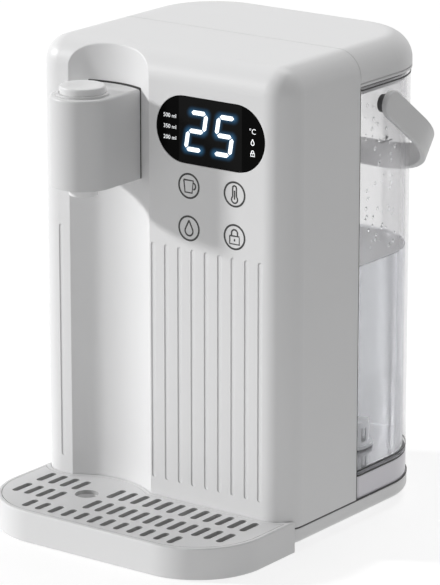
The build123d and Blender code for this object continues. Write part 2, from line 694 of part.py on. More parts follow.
def make_nozzle():
    """A lipped ring under the head, with a neck through its floor and a spout for the hose."""
    low = HEAD_LOW_Z - NOZZLE_DROP
    top = HEAD_LOW_Z + HEAD_FLOOR_T
    lip = rod_z(NOZZLE_R, NICHE_X, HEAD_NOSE_Y, (low, HEAD_LOW_Z))
    lip = fillet(lip.faces().sort_by(Axis.Z)[0].edges(), NOZZLE_DROP / 4)
    nozzle = lip + rod_z(NOZZLE_NECK_R, NICHE_X, HEAD_NOSE_Y, (low + PAST, top))
    nozzle += rod_z(NOZZLE_NECK_R + NOZZLE_COLLAR_T, NICHE_X, HEAD_NOSE_Y, (top, top + NOZZLE_COLLAR_T))
    nozzle += rod_z(BARB_R, NICHE_X, HEAD_NOSE_Y, (top, top + NOZZLE_COLLAR_T + BARB_L / 2))
    nozzle -= rod_z(NOZZLE_BORE_R, NICHE_X, HEAD_NOSE_Y, (low - PAST, HEAD_LOW_Z))
    return nozzle - rod_z(BARB_BORE_R, NICHE_X, HEAD_NOSE_Y, (low, FAR))


def make_spout_button():
    """A dished cap with a retaining flange under the head's top."""
    top = HEAD_HIGH_Z + COLLAR_H + BUTTON_PROUD
    flange_top = HEAD_HIGH_Z - HEAD_WALL - HOLE_FIT
    low = flange_top - BUTTON_FLANGE_T
    cap = rod_z(BUTTON_R, NICHE_X, HEAD_NOSE_Y, (low, top))
    cap = fillet(cap.faces().sort_by(Axis.Z)[-1].edges(), BUTTON_EDGE_R)
    cap -= Pos(NICHE_X, HEAD_NOSE_Y, top - BUTTON_DISH + BUTTON_DISH_R) * Sphere(BUTTON_DISH_R)
    cap += rod_z(BUTTON_R + BUTTON_FLANGE, NICHE_X, HEAD_NOSE_Y, (low, flange_top))
    return cap - rod_z(BUTTON_R - BUTTON_WALL, NICHE_X, HEAD_NOSE_Y, (low - PAST, top - BUTTON_SKIRT))


def button_ceiling():
    return HEAD_HIGH_Z + COLLAR_H + BUTTON_PROUD - BUTTON_SKIRT


def make_button_bracket():
    """A shelf across the head that carries the switch and the button's spring."""
    shelf = head_form(HEAD_WALL + HOLE_FIT, (BRACKET_Z, BRACKET_Z + BRACKET_T))
    return shelf & box((-FAR, FAR), (-FAR, BRACKET_REAR_Y), (-FAR, FAR))


def make_button_switch():
    low = BRACKET_Z + BRACKET_T
    half = SWITCH_SIZE / 2
    body = Pos(NICHE_X, HEAD_NOSE_Y, low + SWITCH_H / 2) * Box(2 * half, 2 * half, SWITCH_H)
    top = button_ceiling() - BUTTON_TRAVEL - PLUNGER_GAP
    return body + rod_z(PLUNGER_R, NICHE_X, HEAD_NOSE_Y, (low, top))


def make_button_spring():
    z = (BRACKET_Z + BRACKET_T, button_ceiling())
    return spring(NICHE_X, HEAD_NOSE_Y, z, BUTTON_SPRING_R, BUTTON_SPRING_TURNS)


def make_pump_motor():
    end = PUMP_X - PUMP_HEAD_L / 2
    motor = rod_x(PUMP_MOTOR_R, PUMP_Y, PIPE_Z, (end - PUMP_MOTOR_L, end))
    motor = fillet(motor.faces().sort_by(Axis.X)[0].edges(), PUMP_EDGE_R)
    start = end - PUMP_MOTOR_L
    return motor + rod_x(PUMP_SHAFT_BOSS_R, PUMP_Y, PIPE_Z, (start - PUMP_SHAFT_BOSS_L, start))


def make_pump_head():
    """The pump's chamber, with the inlet barb at the back and the outlet barb on top."""
    across = (PUMP_X - PUMP_HEAD_L / 2, PUMP_X + PUMP_HEAD_L / 2)
    head = rod_x(PUMP_R, PUMP_Y, PIPE_Z, across)
    head = chamfer(head.faces().sort_by(Axis.X)[-1].edges(), PUMP_EDGE_R)
    head += rod_y(BARB_R, PUMP_X, PIPE_Z, (PUMP_Y, PUMP_Y + PUMP_R + BARB_L))
    head += rod_z(BARB_R, PUMP_X, PUMP_Y, (PIPE_Z, PIPE_Z + PUMP_R + BARB_L))
    head -= rod_y(BARB_BORE_R, PUMP_X, PIPE_Z, (PUMP_Y, PUMP_Y + PUMP_R + BARB_L + PAST))
    return head - rod_z(BARB_BORE_R, PUMP_X, PUMP_Y, (PIPE_Z, PIPE_Z + PUMP_R + BARB_L + PAST))


def make_pump_cradle():
    """A rubber saddle that stands on the base's floor under the motor."""
    middle = PUMP_X - PUMP_HEAD_L / 2 - PUMP_MOTOR_L / 2
    across = (middle - CRADLE_L / 2, middle + CRADLE_L / 2)
    block = box(across, (PUMP_Y - CRADLE_HALF_W, PUMP_Y + CRADLE_HALF_W), (FLOOR_Z, PIPE_Z))
    return block - rod_x(PUMP_MOTOR_R + CRADLE_GAP, PUMP_Y, PIPE_Z, (across[0] - PAST, across[1] + PAST))


def make_inlet_hose():
    """A straight sleeve from the dock's pipe to the pump."""
    run = (PUMP_Y + PUMP_R + FIT, PIPE_END_Y + BARB_L / 2)
    sleeve = rod_y(HOSE_R, VALVE_X, PIPE_Z, run)
    return sleeve - rod_y(HOSE_BORE_R, VALVE_X, PIPE_Z, (run[0] - PAST, run[1] + PAST))


def make_transfer_hose():
    """The hose from the pump up to the foot of the heater."""
    points = [
        (PUMP_X, PUMP_Y, PIPE_Z + PUMP_R + FIT),
        (PUMP_X, PUMP_Y, TRANSFER_RISE_Z),
        (NICHE_X, HEATER_Y, TRANSFER_RISE_Z),
        (NICHE_X, HEATER_Y, HEATER_LOW_Z - HEATER_CAP_T + HEATER_CAP_LIP - FIT),
    ]
    return tube(points, TRANSFER_BEND, HOSE_R, HOSE_BORE_R)


def make_outlet_hose():
    """The hose from the heater's top through the spigot to the nozzle."""
    nozzle_top = HEAD_LOW_Z + HEAD_FLOOR_T + NOZZLE_COLLAR_T + FIT
    points = [
        (NICHE_X, HEATER_Y, HEATER_HIGH_Z + HEATER_CAP_T - HEATER_CAP_LIP + FIT),
        (NICHE_X, HEATER_Y, OUTLET_RISE_Z),
        (NICHE_X, HEAD_NOSE_Y, OUTLET_RISE_Z),
        (NICHE_X, HEAD_NOSE_Y, nozzle_top),
    ]
    return tube(points, [OUTLET_BEND, NOZZLE_BEND], HOSE_R, HOSE_BORE_R)


def make_heater_tube():
    z = (HEATER_LOW_Z, HEATER_HIGH_Z)
    return rod_z(HEATER_R, NICHE_X, HEATER_Y, z) - rod_z(HEATER_R - HEATER_WALL, NICHE_X, HEATER_Y, (0, FAR))


def heater_cap():
    """An end cap for the heater's foot: a cup over the tube's end with a barb."""
    face = HEATER_LOW_Z - HEATER_CAP_T + HEATER_CAP_LIP
    cap = rod_z(HEATER_CAP_R, NICHE_X, HEATER_Y, (face, HEATER_LOW_Z + HEATER_CAP_LIP))
    cap -= rod_z(HEATER_R + HOLE_FIT, NICHE_X, HEATER_Y, (HEATER_LOW_Z, HEATER_LOW_Z + FAR))
    cap += rod_z(BARB_R, NICHE_X, HEATER_Y, (face - BARB_L, face + PAST))
    return cap - rod_z(BARB_BORE_R, NICHE_X, HEATER_Y, (0, FAR))


def make_heater_end_caps():
    middle = Plane(origin=(0, 0, (HEATER_LOW_Z + HEATER_HIGH_Z) / 2))
    low_cap = heater_cap()
    return [low_cap, mirror(low_cap, about=middle)]


def make_heater_bracket():
    """Two straps round the heater on a plate that stands against the rear wall."""
    plate_y = (REAR_WALL_Y - BRACKET_PLATE_T, REAR_WALL_Y)
    half = BRACKET_FOOT_W / 2
    inset = HEATER_CAP_LIP + BRACKET_END_GAP
    tall = (HEATER_LOW_Z + inset, HEATER_HIGH_Z - inset)
    bracket = box((NICHE_X - half, NICHE_X + half), plate_y, tall)
    strap_r = HEATER_R + CRADLE_GAP + BRACKET_STRAP_T
    for low in (tall[0], tall[1] - BRACKET_STRAP_H):
        z = (low, low + BRACKET_STRAP_H)
        bracket += rod_z(strap_r, NICHE_X, HEATER_Y, z)
        neck = (NICHE_X - CUTOUT_R, NICHE_X + CUTOUT_R)
        bracket += box(neck, (HEATER_Y, REAR_WALL_Y), z)
    return bracket - rod_z(HEATER_R + CRADLE_GAP, NICHE_X, HEATER_Y, (0, FAR))


def make_thermal_cutout():
    """A thermostat button held against the heater's side."""
    side = NICHE_X + HEATER_R
    return rod_x(CUTOUT_R, HEATER_Y, CUTOUT_Z, (side - PAST, side + CUTOUT_T)) - rod_z(
        HEATER_R + HOLE_FIT, NICHE_X, HEATER_Y, (0, FAR)
    )


def make_dock_socket():
    """The socket on the deck, with a pin for the valve and a pipe into the housing."""
    low = BASE_TOP_Z
    socket = rod_z(DOCK_R, VALVE_X, VALVE_Y, (low, DOCK_TOP_Z))
    socket += rod_y(PIPE_R, VALVE_X, PIPE_Z, (REAR_WALL_Y - FIT, VALVE_Y))
    socket += rod_y(BARB_R, VALVE_X, PIPE_Z, (PIPE_END_Y, VALVE_Y))
    socket -= rod_z(VALVE_NECK_R + DOCK_FIT, VALVE_X, VALVE_Y, (low + DOCK_FLOOR_T, DOCK_TOP_Z + PAST))
    socket -= rod_y(PIPE_BORE_R, VALVE_X, PIPE_Z, (PIPE_END_Y - PAST, VALVE_Y))
    pin_top = stem_low() - DOCK_PIN_GAP
    return socket + rod_z(DOCK_PIN_R, VALVE_X, VALVE_Y, (low + DOCK_FLOOR_T - PAST, pin_top))


def valve_flange_low():
    return TANK_FLOOR_Z + VALVE_SEAL_T


def valve_seat():
    return valve_flange_low() + VALVE_FLANGE_T


def stem_low():
    return DOCK_TOP_Z - POPPET_T


def make_valve_body():
    """A slotted tower on a flange, with a neck down through the tank's floor."""
    neck_low = BASE_TOP_Z + DOCK_FLOOR_T + 2 * PIPE_BORE_R - POPPET_LIFT_OFF
    seat = valve_seat()
    body = rod_z(VALVE_NECK_R, VALVE_X, VALVE_Y, (neck_low, seat))
    body += rod_z(VALVE_FLANGE_R, VALVE_X, VALVE_Y, (valve_flange_low(), seat))
    body += rod_z(VALVE_TOWER_R, VALVE_X, VALVE_Y, (seat, VALVE_TOP_Z))
    body -= rod_z(VALVE_TOWER_R - VALVE_TOWER_WALL, VALVE_X, VALVE_Y, (seat, VALVE_TOP_Z - VALVE_CAP_T))
    body -= rod_z(VALVE_BORE_R, VALVE_X, VALVE_Y, (neck_low - PAST, seat + PAST))
    body -= rod_z(STEM_R + STEM_FIT, VALVE_X, VALVE_Y, (seat, FAR))
    window_z = (seat + POPPET_T, VALVE_TOP_Z - 2 * VALVE_CAP_T)
    half = VALVE_WINDOW_W / 2
    reach = VALVE_TOWER_R + PAST
    body -= box((VALVE_X - half, VALVE_X + half), (VALVE_Y - reach, VALVE_Y + reach), window_z)
    body -= box((VALVE_X - reach, VALVE_X + reach), (VALVE_Y - half, VALVE_Y + half), window_z)
    return body


def make_valve_seal():
    z = (TANK_FLOOR_Z, valve_flange_low())
    washer = rod_z(VALVE_FLANGE_R, VALVE_X, VALVE_Y, z)
    return washer - rod_z(VALVE_NECK_R + HOLE_FIT, VALVE_X, VALVE_Y, (0, FAR))


def poppet_top():
    return valve_seat() + POPPET_LIFT_OFF + POPPET_T


def make_valve_poppet():
    disc = rod_z(POPPET_R, VALVE_X, VALVE_Y, (valve_seat() + POPPET_LIFT_OFF, poppet_top()))
    disc = chamfer(disc.faces().sort_by(Axis.Z)[0].edges(), POPPET_T / 4)
    return disc + rod_z(STEM_R, VALVE_X, VALVE_Y, (stem_low(), VALVE_TOP_Z - VALVE_CAP_T / 2))


def make_valve_spring():
    z = (poppet_top(), VALVE_TOP_Z - VALVE_CAP_T)
    return spring(VALVE_X, VALVE_Y, z, VALVE_SPRING_R, VALVE_SPRING_TURNS)


def make_tank_shell():
    tank = prism(tank_plan(0), (TANK_BOTTOM_Z, TANK_RIM_Z))
    tank -= prism(tank_plan(TANK_WALL), (TANK_FLOOR_Z, TANK_RIM_Z + PAST))
    return tank - rod_z(VALVE_NECK_R + HOLE_FIT, VALVE_X, VALVE_Y, (0, TANK_FLOOR_Z + PAST))


def make_tank_gasket():
    z = (SKIRT_TOP_Z, TANK_BOTTOM_Z)
    return ring(tank_plan, TANK_GASKET_INSET, TANK_GASKET_INSET + TANK_GASKET_W, z)


def make_tank_skirt():
    """The tank's foot, rebated at the bottom so that a shadow line shows above the base."""
    skirt = prism(tank_plan(0), (BASE_TOP_Z + SKIRT_GAP, SKIRT_TOP_Z))
    skirt += prism(tank_plan(SKIRT_REBATE), (BASE_TOP_Z, SKIRT_TOP_Z))
    skirt -= prism(tank_plan(SKIRT_WALL), (BASE_TOP_Z - PAST, SKIRT_TOP_Z - SKIRT_TOP_T))
    skirt -= rod_z(VALVE_NECK_R + HOLE_FIT, VALVE_X, VALVE_Y, (0, FAR))
    notch = PIPE_R + 2 * FIT
    notch_y = (TANK_FRONT_Y - PAST, TANK_FRONT_Y + SKIRT_WALL + PAST)
    return skirt - box((VALVE_X - notch, VALVE_X + notch), notch_y, (0, PIPE_Z + notch))


def make_tank_lid():
    """The lid, with a plug that fits into the tank and a shadow groove above its lower edge."""
    front = SHELL_D + LID_PARTING
    lid = body_form(0, LID_Z) & behind(front)
    groove_z = (LID_Z + LID_GROOVE_RISE, LID_Z + LID_GROOVE_RISE + LID_GROOVE_W)
    lid -= ring(body_plan, -PAST, LID_GROOVE_DEPTH, groove_z)
    lid -= body_form(LID_WALL, LID_Z - PAST) & behind(front + LID_WALL)
    plug_out = TANK_WALL + LID_PLUG_FIT
    lid += ring(tank_plan, 0, plug_out + LID_PLUG_T, (LID_Z, LID_Z + LID_FLANGE_T))
    return lid + ring(tank_plan, plug_out, plug_out + LID_PLUG_T, (LID_Z - LID_PLUG_H, LID_Z + LID_FLANGE_T))


def make_lid_gasket():
    return ring(tank_plan, LID_GASKET_INSET, TANK_WALL, (TANK_RIM_Z, LID_Z))


def make_handle_pivots():
    """Two round bosses on the tank's sides, each with a stub pin."""
    boss_x = TANK_HALF_W + PIVOT_BOSS_T
    pin_x = boss_x + PIVOT_PIN_L
    pivots = []
    for side in (-1, 1):
        boss = rod_x(PIVOT_BOSS_R, PIVOT_Y, PIVOT_Z, sorted((side * TANK_HALF_W, side * boss_x)))
        pin = rod_x(PIVOT_PIN_R, PIVOT_Y, PIVOT_Z, sorted((side * TANK_HALF_W, side * pin_x)))
        pivots.append(boss + pin)
    return pivots


def handle_outline(half_w, reach, bend_r):
    """One side of the handle's U, open at the pivots."""
    outline = Pos(0, (reach - HANDLE_W) / 2) * Rectangle(2 * half_w, reach + HANDLE_W)
    return fillet(outline.vertices().group_by(Axis.Y)[-1], bend_r)


def make_tank_handle():
    """A flat strap bent to a U, with round ends at the pivots, hung at its resting angle."""
    outer = handle_outline(HANDLE_OUT_X, HANDLE_REACH, HANDLE_BEND_R)
    inner = handle_outline(HANDLE_IN_X, HANDLE_REACH - HANDLE_T, HANDLE_BEND_R - HANDLE_T)
    strap = prism(outer - inner, (-HANDLE_W / 2, HANDLE_W / 2))
    ends = rod_x(HANDLE_W / 2, 0, 0, (-FAR, FAR))
    strap &= ends + box((-FAR, FAR), (0, FAR), (-HANDLE_W / 2, HANDLE_W / 2))
    rims = strap.edges().filter_by(lambda edge: abs(edge.center().Z) > HANDLE_W / 2 - HANDLE_EDGE_R)
    strap = fillet(rims, HANDLE_EDGE_R)
    strap -= rod_x(PIVOT_PIN_R + PIVOT_FIT, 0, 0, (-HANDLE_IN_X - PIVOT_PIN_L, HANDLE_IN_X + PIVOT_PIN_L))
    return Pos(0, PIVOT_Y, PIVOT_Z) * Rot(-HANDLE_REST_ANGLE, 0, 0) * strap


def tray_plan():
    """The tray's outline: round front corners, and a back edge that follows the housing."""
    depth = TRAY_REACH + TRAY_REAR_Y
    plan = Pos(0, (TRAY_REAR_Y - TRAY_REACH) / 2) * Rectangle(BODY_W, depth)
    plan = fillet(plan.vertices().group_by(Axis.Y)[0], TRAY_CORNER_R)
    housing = body_plan(-TRAY_BODY_GAP) - Pos(NICHE_X, NICHE_Y) * Circle(NICHE_R - TRAY_BODY_GAP)
    return plan - housing


def make_drip_tray():
    plan = tray_plan()
    tray = prism(plan, (TRAY_BOTTOM_Z, TRAY_TOP_Z))
    rims = tray.edges().filter_by(lambda edge: abs(edge.tangent_at(0.5).Z) < 0.5)
    tray = fillet(rims.filter_by(lambda edge: edge.center().Y < HEAD_NOSE_Y), TRAY_EDGE_R)
    tray -= prism(offset(plan, -TRAY_RIM), (GRILLE_Z, TRAY_TOP_Z + PAST))
    return tray - prism(offset(plan, -TRAY_RIM - TRAY_LEDGE), (TRAY_BOTTOM_Z + TRAY_FLOOR_T, TRAY_TOP_Z))


def make_drip_grille():
    plate = offset(tray_plan(), -TRAY_RIM - GRILLE_GAP)
    first_x = -(SLOT_COLUMNS - 1) / 2 * SLOT_PITCH
    clear = DRAIN_R + SLOT_W / 2
    for y in (REAR_SLOT_Y, MIDDLE_SLOT_Y):
        for i in range(SLOT_COLUMNS):
            x = first_x + i * SLOT_PITCH
            if abs(x - NICHE_X) > clear:
                plate -= Pos(x, y) * Rot(0, 0, 90) * SlotOverall(SLOT_L, SLOT_W)
    first_x = -(FRONT_SLOT_COUNT - 1) / 2 * FRONT_SLOT_PITCH
    for i in range(FRONT_SLOT_COUNT):
        x = first_x + i * FRONT_SLOT_PITCH
        plate -= Pos(x, FRONT_SLOT_Y) * Rot(0, 0, 90) * SlotOverall(FRONT_SLOT_L, SLOT_W)
    plate -= Pos(NICHE_X, HEAD_NOSE_Y) * Circle(DRAIN_R)
    return prism(plate, (GRILLE_Z, TRAY_TOP_Z))


MAKERS = [
    make_base_pan,
    make_tank_deck,
    make_rubber_feet,
    make_base_screws,
    make_cord_gland,
    make_front_shell,
    make_rear_wall,
    make_display_window,
    make_display_board,
    make_display_screws,
    make_touch_pads,
    make_power_board,
    make_board_screws,
    make_spout_head,
    make_spout_clamp,
    make_spout_floor,
    make_nozzle,
    make_spout_button,
    make_button_bracket,
    make_button_switch,
    make_button_spring,
    make_pump_motor,
    make_pump_head,
    make_pump_cradle,
    make_inlet_hose,
    make_transfer_hose,
    make_outlet_hose,
    make_heater_tube,
    make_heater_end_caps,
    make_heater_bracket,
    make_thermal_cutout,
    make_dock_socket,
    make_valve_body,
    make_valve_seal,
    make_valve_poppet,
    make_valve_spring,
    make_tank_shell,
    make_tank_gasket,
    make_tank_skirt,
    make_tank_lid,
    make_lid_gasket,
    make_handle_pivots,
    make_tank_handle,
    make_drip_tray,
    make_drip_grille,
]


def export_all():
    """Write one file per piece, with the origin under the middle of the whole part."""
    os.makedirs("parts", exist_ok=True)
    pieces = {maker.__name__.removeprefix("make_"): maker() for maker in MAKERS}
    rear_y = pieces["tank_handle"].bounding_box().max.Y
    centre = Pos(0, -(rear_y - TRAY_REACH) / 2, 0)
    print("front panel at Y", -(rear_y - TRAY_REACH) / 2)
    for name, piece in pieces.items():
        solids = piece if isinstance(piece, list) else [piece]
        placed = [centre * solid for solid in solids]
        export_step(placed[0] if len(placed) == 1 else Compound(children=placed), f"parts/{name}.step")


export_all()
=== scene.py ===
"""Hot water dispenser with a clear lift-off tank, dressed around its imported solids."""

import math
import random

import bmesh
import bpy
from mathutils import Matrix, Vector


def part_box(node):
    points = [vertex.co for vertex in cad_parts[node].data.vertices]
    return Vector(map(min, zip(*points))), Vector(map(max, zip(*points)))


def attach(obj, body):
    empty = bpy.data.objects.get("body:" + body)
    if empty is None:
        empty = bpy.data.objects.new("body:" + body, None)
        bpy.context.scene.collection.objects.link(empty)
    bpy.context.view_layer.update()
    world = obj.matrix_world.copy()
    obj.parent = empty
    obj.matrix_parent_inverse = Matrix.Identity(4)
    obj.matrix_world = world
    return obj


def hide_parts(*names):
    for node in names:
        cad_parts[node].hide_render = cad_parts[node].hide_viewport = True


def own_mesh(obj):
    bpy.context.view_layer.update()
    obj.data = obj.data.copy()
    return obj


MM = 0.001
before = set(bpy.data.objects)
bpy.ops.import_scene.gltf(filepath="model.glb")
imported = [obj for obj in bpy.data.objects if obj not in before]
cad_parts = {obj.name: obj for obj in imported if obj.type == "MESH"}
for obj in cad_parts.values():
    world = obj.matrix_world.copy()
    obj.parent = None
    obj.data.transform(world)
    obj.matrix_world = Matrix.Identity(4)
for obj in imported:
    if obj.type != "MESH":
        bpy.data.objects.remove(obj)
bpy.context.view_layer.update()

# Places read from the frame
SHELL_LOW, SHELL_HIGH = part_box("front_shell")
WINDOW_LOW, WINDOW_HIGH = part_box("display_window")
PADS_LOW, PADS_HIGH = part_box("touch_pads")
TANK_LOW, TANK_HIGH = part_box("tank_shell")
FRONT_Y = SHELL_LOW.y
WINDOW_X = (WINDOW_LOW.x + WINDOW_HIGH.x) / 2
WINDOW_Z = (WINDOW_LOW.z + WINDOW_HIGH.z) / 2

# Printed ink on the front panel
INK_T = 0.08 * MM
PAD_R = 6.0 * MM
KEY_RING_R = 7.9 * MM
KEY_RING_W = 1.15 * MM
KEY_X = (PADS_LOW.x + PAD_R, PADS_HIGH.x - PAD_R)
KEY_Z = (PADS_HIGH.z - PAD_R, PADS_LOW.z + PAD_R)
ICON_LINE = 1.05 * MM
ICON_SIZE = 1.45 * MM

# Lit digits and marks on the display window
DIGIT_PITCH = 20.6 * MM
DIGIT_HALF_W = 5.7 * MM
DIGIT_HALF_H = 11.3 * MM
SEGMENT_W = 2.7 * MM
SEGMENT_POINT = 0.46 * SEGMENT_W
SEGMENT_GAP = 0.64 * MM
DIGIT_SLANT = 0.17
DIGIT_T = 0.12 * MM
# A blue glow painted on the window round the lit digits, standing in for their light
PAINTED_GLOW_REACH = 4.4 * MM
PAINTED_GLOW_FALL = 1.7
PAINTED_GLOW_BLUE = (0.03, 0.12, 0.24, 1)
LIT_SEGMENTS = {-1: "abged", 1: "afgcd"}
LED_HALF_W = 23.0 * MM
LABELS = ("500 ml", "350 ml", "200 ml")
LABEL_X = -29.6 * MM
LABEL_PITCH = 6.65 * MM
LABEL_Z = 0.45 * MM
LABEL_SIZE = 3.5 * MM
LABEL_THIN = 0.035 * MM
MARK_X = 30.8 * MM
MARK_SIZE = 4.6 * MM
MARK_LINE = 0.55 * MM
MARK_ICON_SIZE = 0.55 * MM
UNIT_DROP = 1.0 * MM
DROP_MARK_Z = -0.7 * MM
LOCK_MARK_Z = -7.4 * MM

# Water in the tank; its raised edge goes down in steps, each with a width and a drop
TANK_WALL = 2.4 * MM
TANK_FLOOR_T = 2.6 * MM
TANK_REAR_R = 49.2 * MM
TANK_FRONT_R = 4.0 * MM
WATER_LAP = 0.3 * MM
WATER_Z = 162.8 * MM
MENISCUS_STEPS = ((1.0 * MM, 0.7 * MM), (3.0 * MM, 0.3 * MM))

# Dark sheet between the spout head and the niche wall, painted shade in the gap there
NICHE_DEPTH = 10.5 * MM
NICHE_R = 49.55 * MM
SHADE_SHEET_GAP = 0.1 * MM
SHADE_SHEET_T = 0.3 * MM
SHADE_SHEET_PROUD = 0.18 * MM
SHADE_SHEET_DROP = 0.5 * MM

# Thin dark bands round the housing and the tank, with front and rear corners; the band over the base and
# the strips down the rear edges are painted shade in the seams
BODY_CORNER_R = (17.0 * MM, 50.0 * MM)
TANK_CORNER_R = (TANK_FRONT_R, TANK_REAR_R)
LINE_PROUD = 0.06 * MM
LINE_DEPTH = 0.5 * MM
BASE_SHADE_Z = 15.15 * MM
BASE_SHADE_H = 0.75 * MM
RIM_LINE_DROP = 2.3 * MM
RIM_LINE_H = 0.8 * MM
FLOOR_LINE_RISE = 2.2 * MM
FLOOR_LINE_H = 0.55 * MM
SHADE_STRIP_W = 0.9 * MM
SHADE_STRIP_DEEP = 1.5 * MM
SHADE_STRIP_SUNK = 0.1 * MM
SHADE_STRIP_EDGE_R = 0.12 * MM
TOP_EDGE_R = 16.4 * MM
STRIP_W = 0.5 * MM
STRIP_DEEP = 1.6 * MM
STRIP_SUNK = 0.05 * MM

# Nozzle under the spout head
NOZZLE_BOTTOM_Z = 209.6 * MM
NOZZLE_LIP = 1.6 * MM
NOZZLE_TIP_WALL = 0.96 * MM
NOZZLE_BORE_DEEP = 4.0 * MM
NOZZLE_EDGE_R = 0.3 * MM

# Springs under the button and in the tank's valve
SPRING_WIRE_R = 0.5 * MM
SPRING_TURNS = 5
SPRING_STEPS = 40

# Finger cup under the grille's round hole
CUP_R = 8.2 * MM
CUP_DEPTH = 4.2 * MM
CUP_WALL = 0.8 * MM
CUP_SEAM = 0.05 * MM
CUP_TAPER = 0.9
CUP_EDGE_R = 0.48 * MM
HOLE_X = -37.6 * MM
HOLE_Y = -24.5 * MM

# Drops on the inside of the tank's right wall
DROP_COUNT = 60
DROP_SEED = 11
DROP_R = (0.5 * MM, 1.3 * MM)
DROP_FLAT = 0.45
DROP_TALL = 1.35
DROP_BAND = (8 * MM, 42 * MM)
DROP_OVER_WATER = 6 * MM
DROP_UNDER_RIM = 12 * MM

# Fill mark on the outside of that wall
FILL_Y = 104.0 * MM
FILL_Z = 236.0 * MM
FILL_L = 13.0 * MM
FILL_H = 0.7 * MM
FILL_T = 0.06 * MM
FILL_EDGE = 0.2 * FILL_T
POINTER_R = 2.2 * MM

# Rounding of circles and corners, and how near to a plane counts as on it when edges are picked
RING_SIDES = 96
CORNER_STEPS = 32
TOUCH = 0.01 * MM

# Numbers shared by the finishes
WHITE_TINT = (1.0, 1.0, 1.004)
LILAC_TINT = (0.98, 0.97, 1.02)
PLASTIC_IOR = 1.5
CLEAR_IOR = 1.49
GLANCE_IOR = 1.45
GLANCE_VEIL = 0.4
WATER_IOR = 1.333
CLOUD_SCALE = 18.0
CLOUD_SHADE = 0.024
CLOUD_ROUGH = 0.05
GRAIN_SCALE = 2600.0
GRAIN_DEPTH = 0.02
GRAIN_HEIGHT = 0.1 * MM
GRAIN_ROUGH = 0.06
MOULD_EDGE_R = 0.5 * MM
PRINT_EDGE_R = 0.02 * MM
FLAT_RISE = 0.7
WALL_RISE = 0.5
BRUSH_SCALE = (900, 900, 40)
BRUSH_HEIGHT = 0.05 * MM
COPPER_GREEN = (0.012, 0.10, 0.035, 1)
MASK_GREEN = (0.03, 0.2, 0.075, 1)

# The view and the light
CAMERA_PLACE = (1.2975, FRONT_Y - 1.6962, 0.7666)
CAMERA_LOOK = (-0.5705, 0.7729, -0.2777)
CAMERA_LENS = 227.7
LIGHTS = {
    "key": {"azimuth": -62.0, "elevation": 20.2, "strength": 2.36, "angle": 5.0},
    "rear_top": {"azimuth": 185.0, "elevation": 62.0, "strength": 0.98, "angle": 30.0},
    "fill": {"azimuth": -20.0, "elevation": 8.0, "strength": 0.33, "angle": 60.0},
}
ROOM_LIGHT = 0.285
FLOOR_SIZE = 12.0
FLOOR_TONE = 0.36
FLOOR_SEEN = 0.73
BOUNCE_LIGHT = 0.47
BOUNCE_REACH = 1.6


class Wire:
    """A node's output; sums on it add Math nodes."""

    def __init__(self, tree, socket):
        self.tree = tree
        self.socket = socket

    def sum(self, operation, first, second=0.0):
        return self.tree.node("Math", {"operation": operation}, {0: first, 1: second})

    def __add__(self, other):
        return self.sum("ADD", self, other)

    def __sub__(self, other):
        return self.sum("SUBTRACT", self, other)

    def __rsub__(self, other):
        return self.sum("SUBTRACT", other, self)

    def __mul__(self, other):
        return self.sum("MULTIPLY", self, other)

    def __truediv__(self, other):
        return self.sum("DIVIDE", self, other)

    def __abs__(self):
        return self.sum("ABSOLUTE", self)

    def least(self, other):
        return self.sum("MINIMUM", self, other)

    def most(self, other):
        return self.sum("MAXIMUM", self, other)

    def power(self, other):
        return self.sum("POWER", self, other)

    def above(self, other):
        return self.sum("GREATER_THAN", self, other)

    def below(self, other):
        return self.sum("LESS_THAN", self, other)

    __radd__ = __add__
    __rmul__ = __mul__


class Tree:
    """A node tree of a material or of the world."""

    def __init__(self, owner):
        owner.use_nodes = True
        self.owner = owner
        self.nodes = owner.node_tree.nodes
        self.links = owner.node_tree.links
        self.nodes.clear()

    def node(self, kind, settings=None, values=None, output=0):
        made = self.nodes.new("ShaderNode" + kind)
        for name, value in (settings or {}).items():
            setattr(made, name, value)
        for name, value in (values or {}).items():
            if isinstance(value, Wire):
                self.links.new(value.socket, made.inputs[name])
            else:
                made.inputs[name].default_value = value
        return Wire(self, made.outputs[output])

    def mix(self, factor, first, second):
        """A colour between two colours."""
        return self.node("Mix", {"data_type": "RGBA"}, {0: factor, 6: first, 7: second}, 2)

    def place(self):
        """Where the surface point is, in the object's own metres."""
        return self.node("TexCoord", output="Object")

    def noise(self, scale, detail=2.0, vector=None):
        values = {"Scale": scale, "Detail": detail, "Vector": vector or self.place()}
        return self.node("TexNoise", None, values)

    def surface(self, shader):
        self.node_output(shader, "OutputMaterial")
        return self.owner

    def node_output(self, shader, kind):
        made = self.nodes.new("ShaderNode" + kind)
        self.links.new(shader.socket, made.inputs["Surface"])


def new_tree(name):
    return Tree(bpy.data.materials.new(name))


def tone(grey, tint=(1.0, 1.0, 1.0)):
    return (grey * tint[0], grey * tint[1], grey * tint[2], 1.0)


# Finishes


def moulded(name, colour, roughness, grain=GRAIN_SCALE, depth=GRAIN_DEPTH, edge=MOULD_EDGE_R):
    """A moulded plastic or rubber: fine grain, faint clouding and softened edges."""
    tree = new_tree(name)
    cloud = tree.noise(CLOUD_SCALE, 3.0)
    fine = tree.noise(grain, 2.0)
    shade = 1.0 + (cloud - 0.5) * CLOUD_SHADE
    soft = tree.node("Bevel", {"samples": 4}, {"Radius": edge})
    bumps = {"Strength": depth, "Distance": GRAIN_HEIGHT, "Height": fine, "Normal": soft}
    values = {
        "Base Color": tree.node("HueSaturation", None, {"Color": colour, "Value": shade}),
        "Roughness": roughness + (fine - 0.5) * GRAIN_ROUGH + (cloud - 0.5) * CLOUD_ROUGH,
        "Normal": tree.node("Bump", None, bumps),
        "IOR": PLASTIC_IOR,
    }
    return tree.surface(tree.node("BsdfPrincipled", None, values))


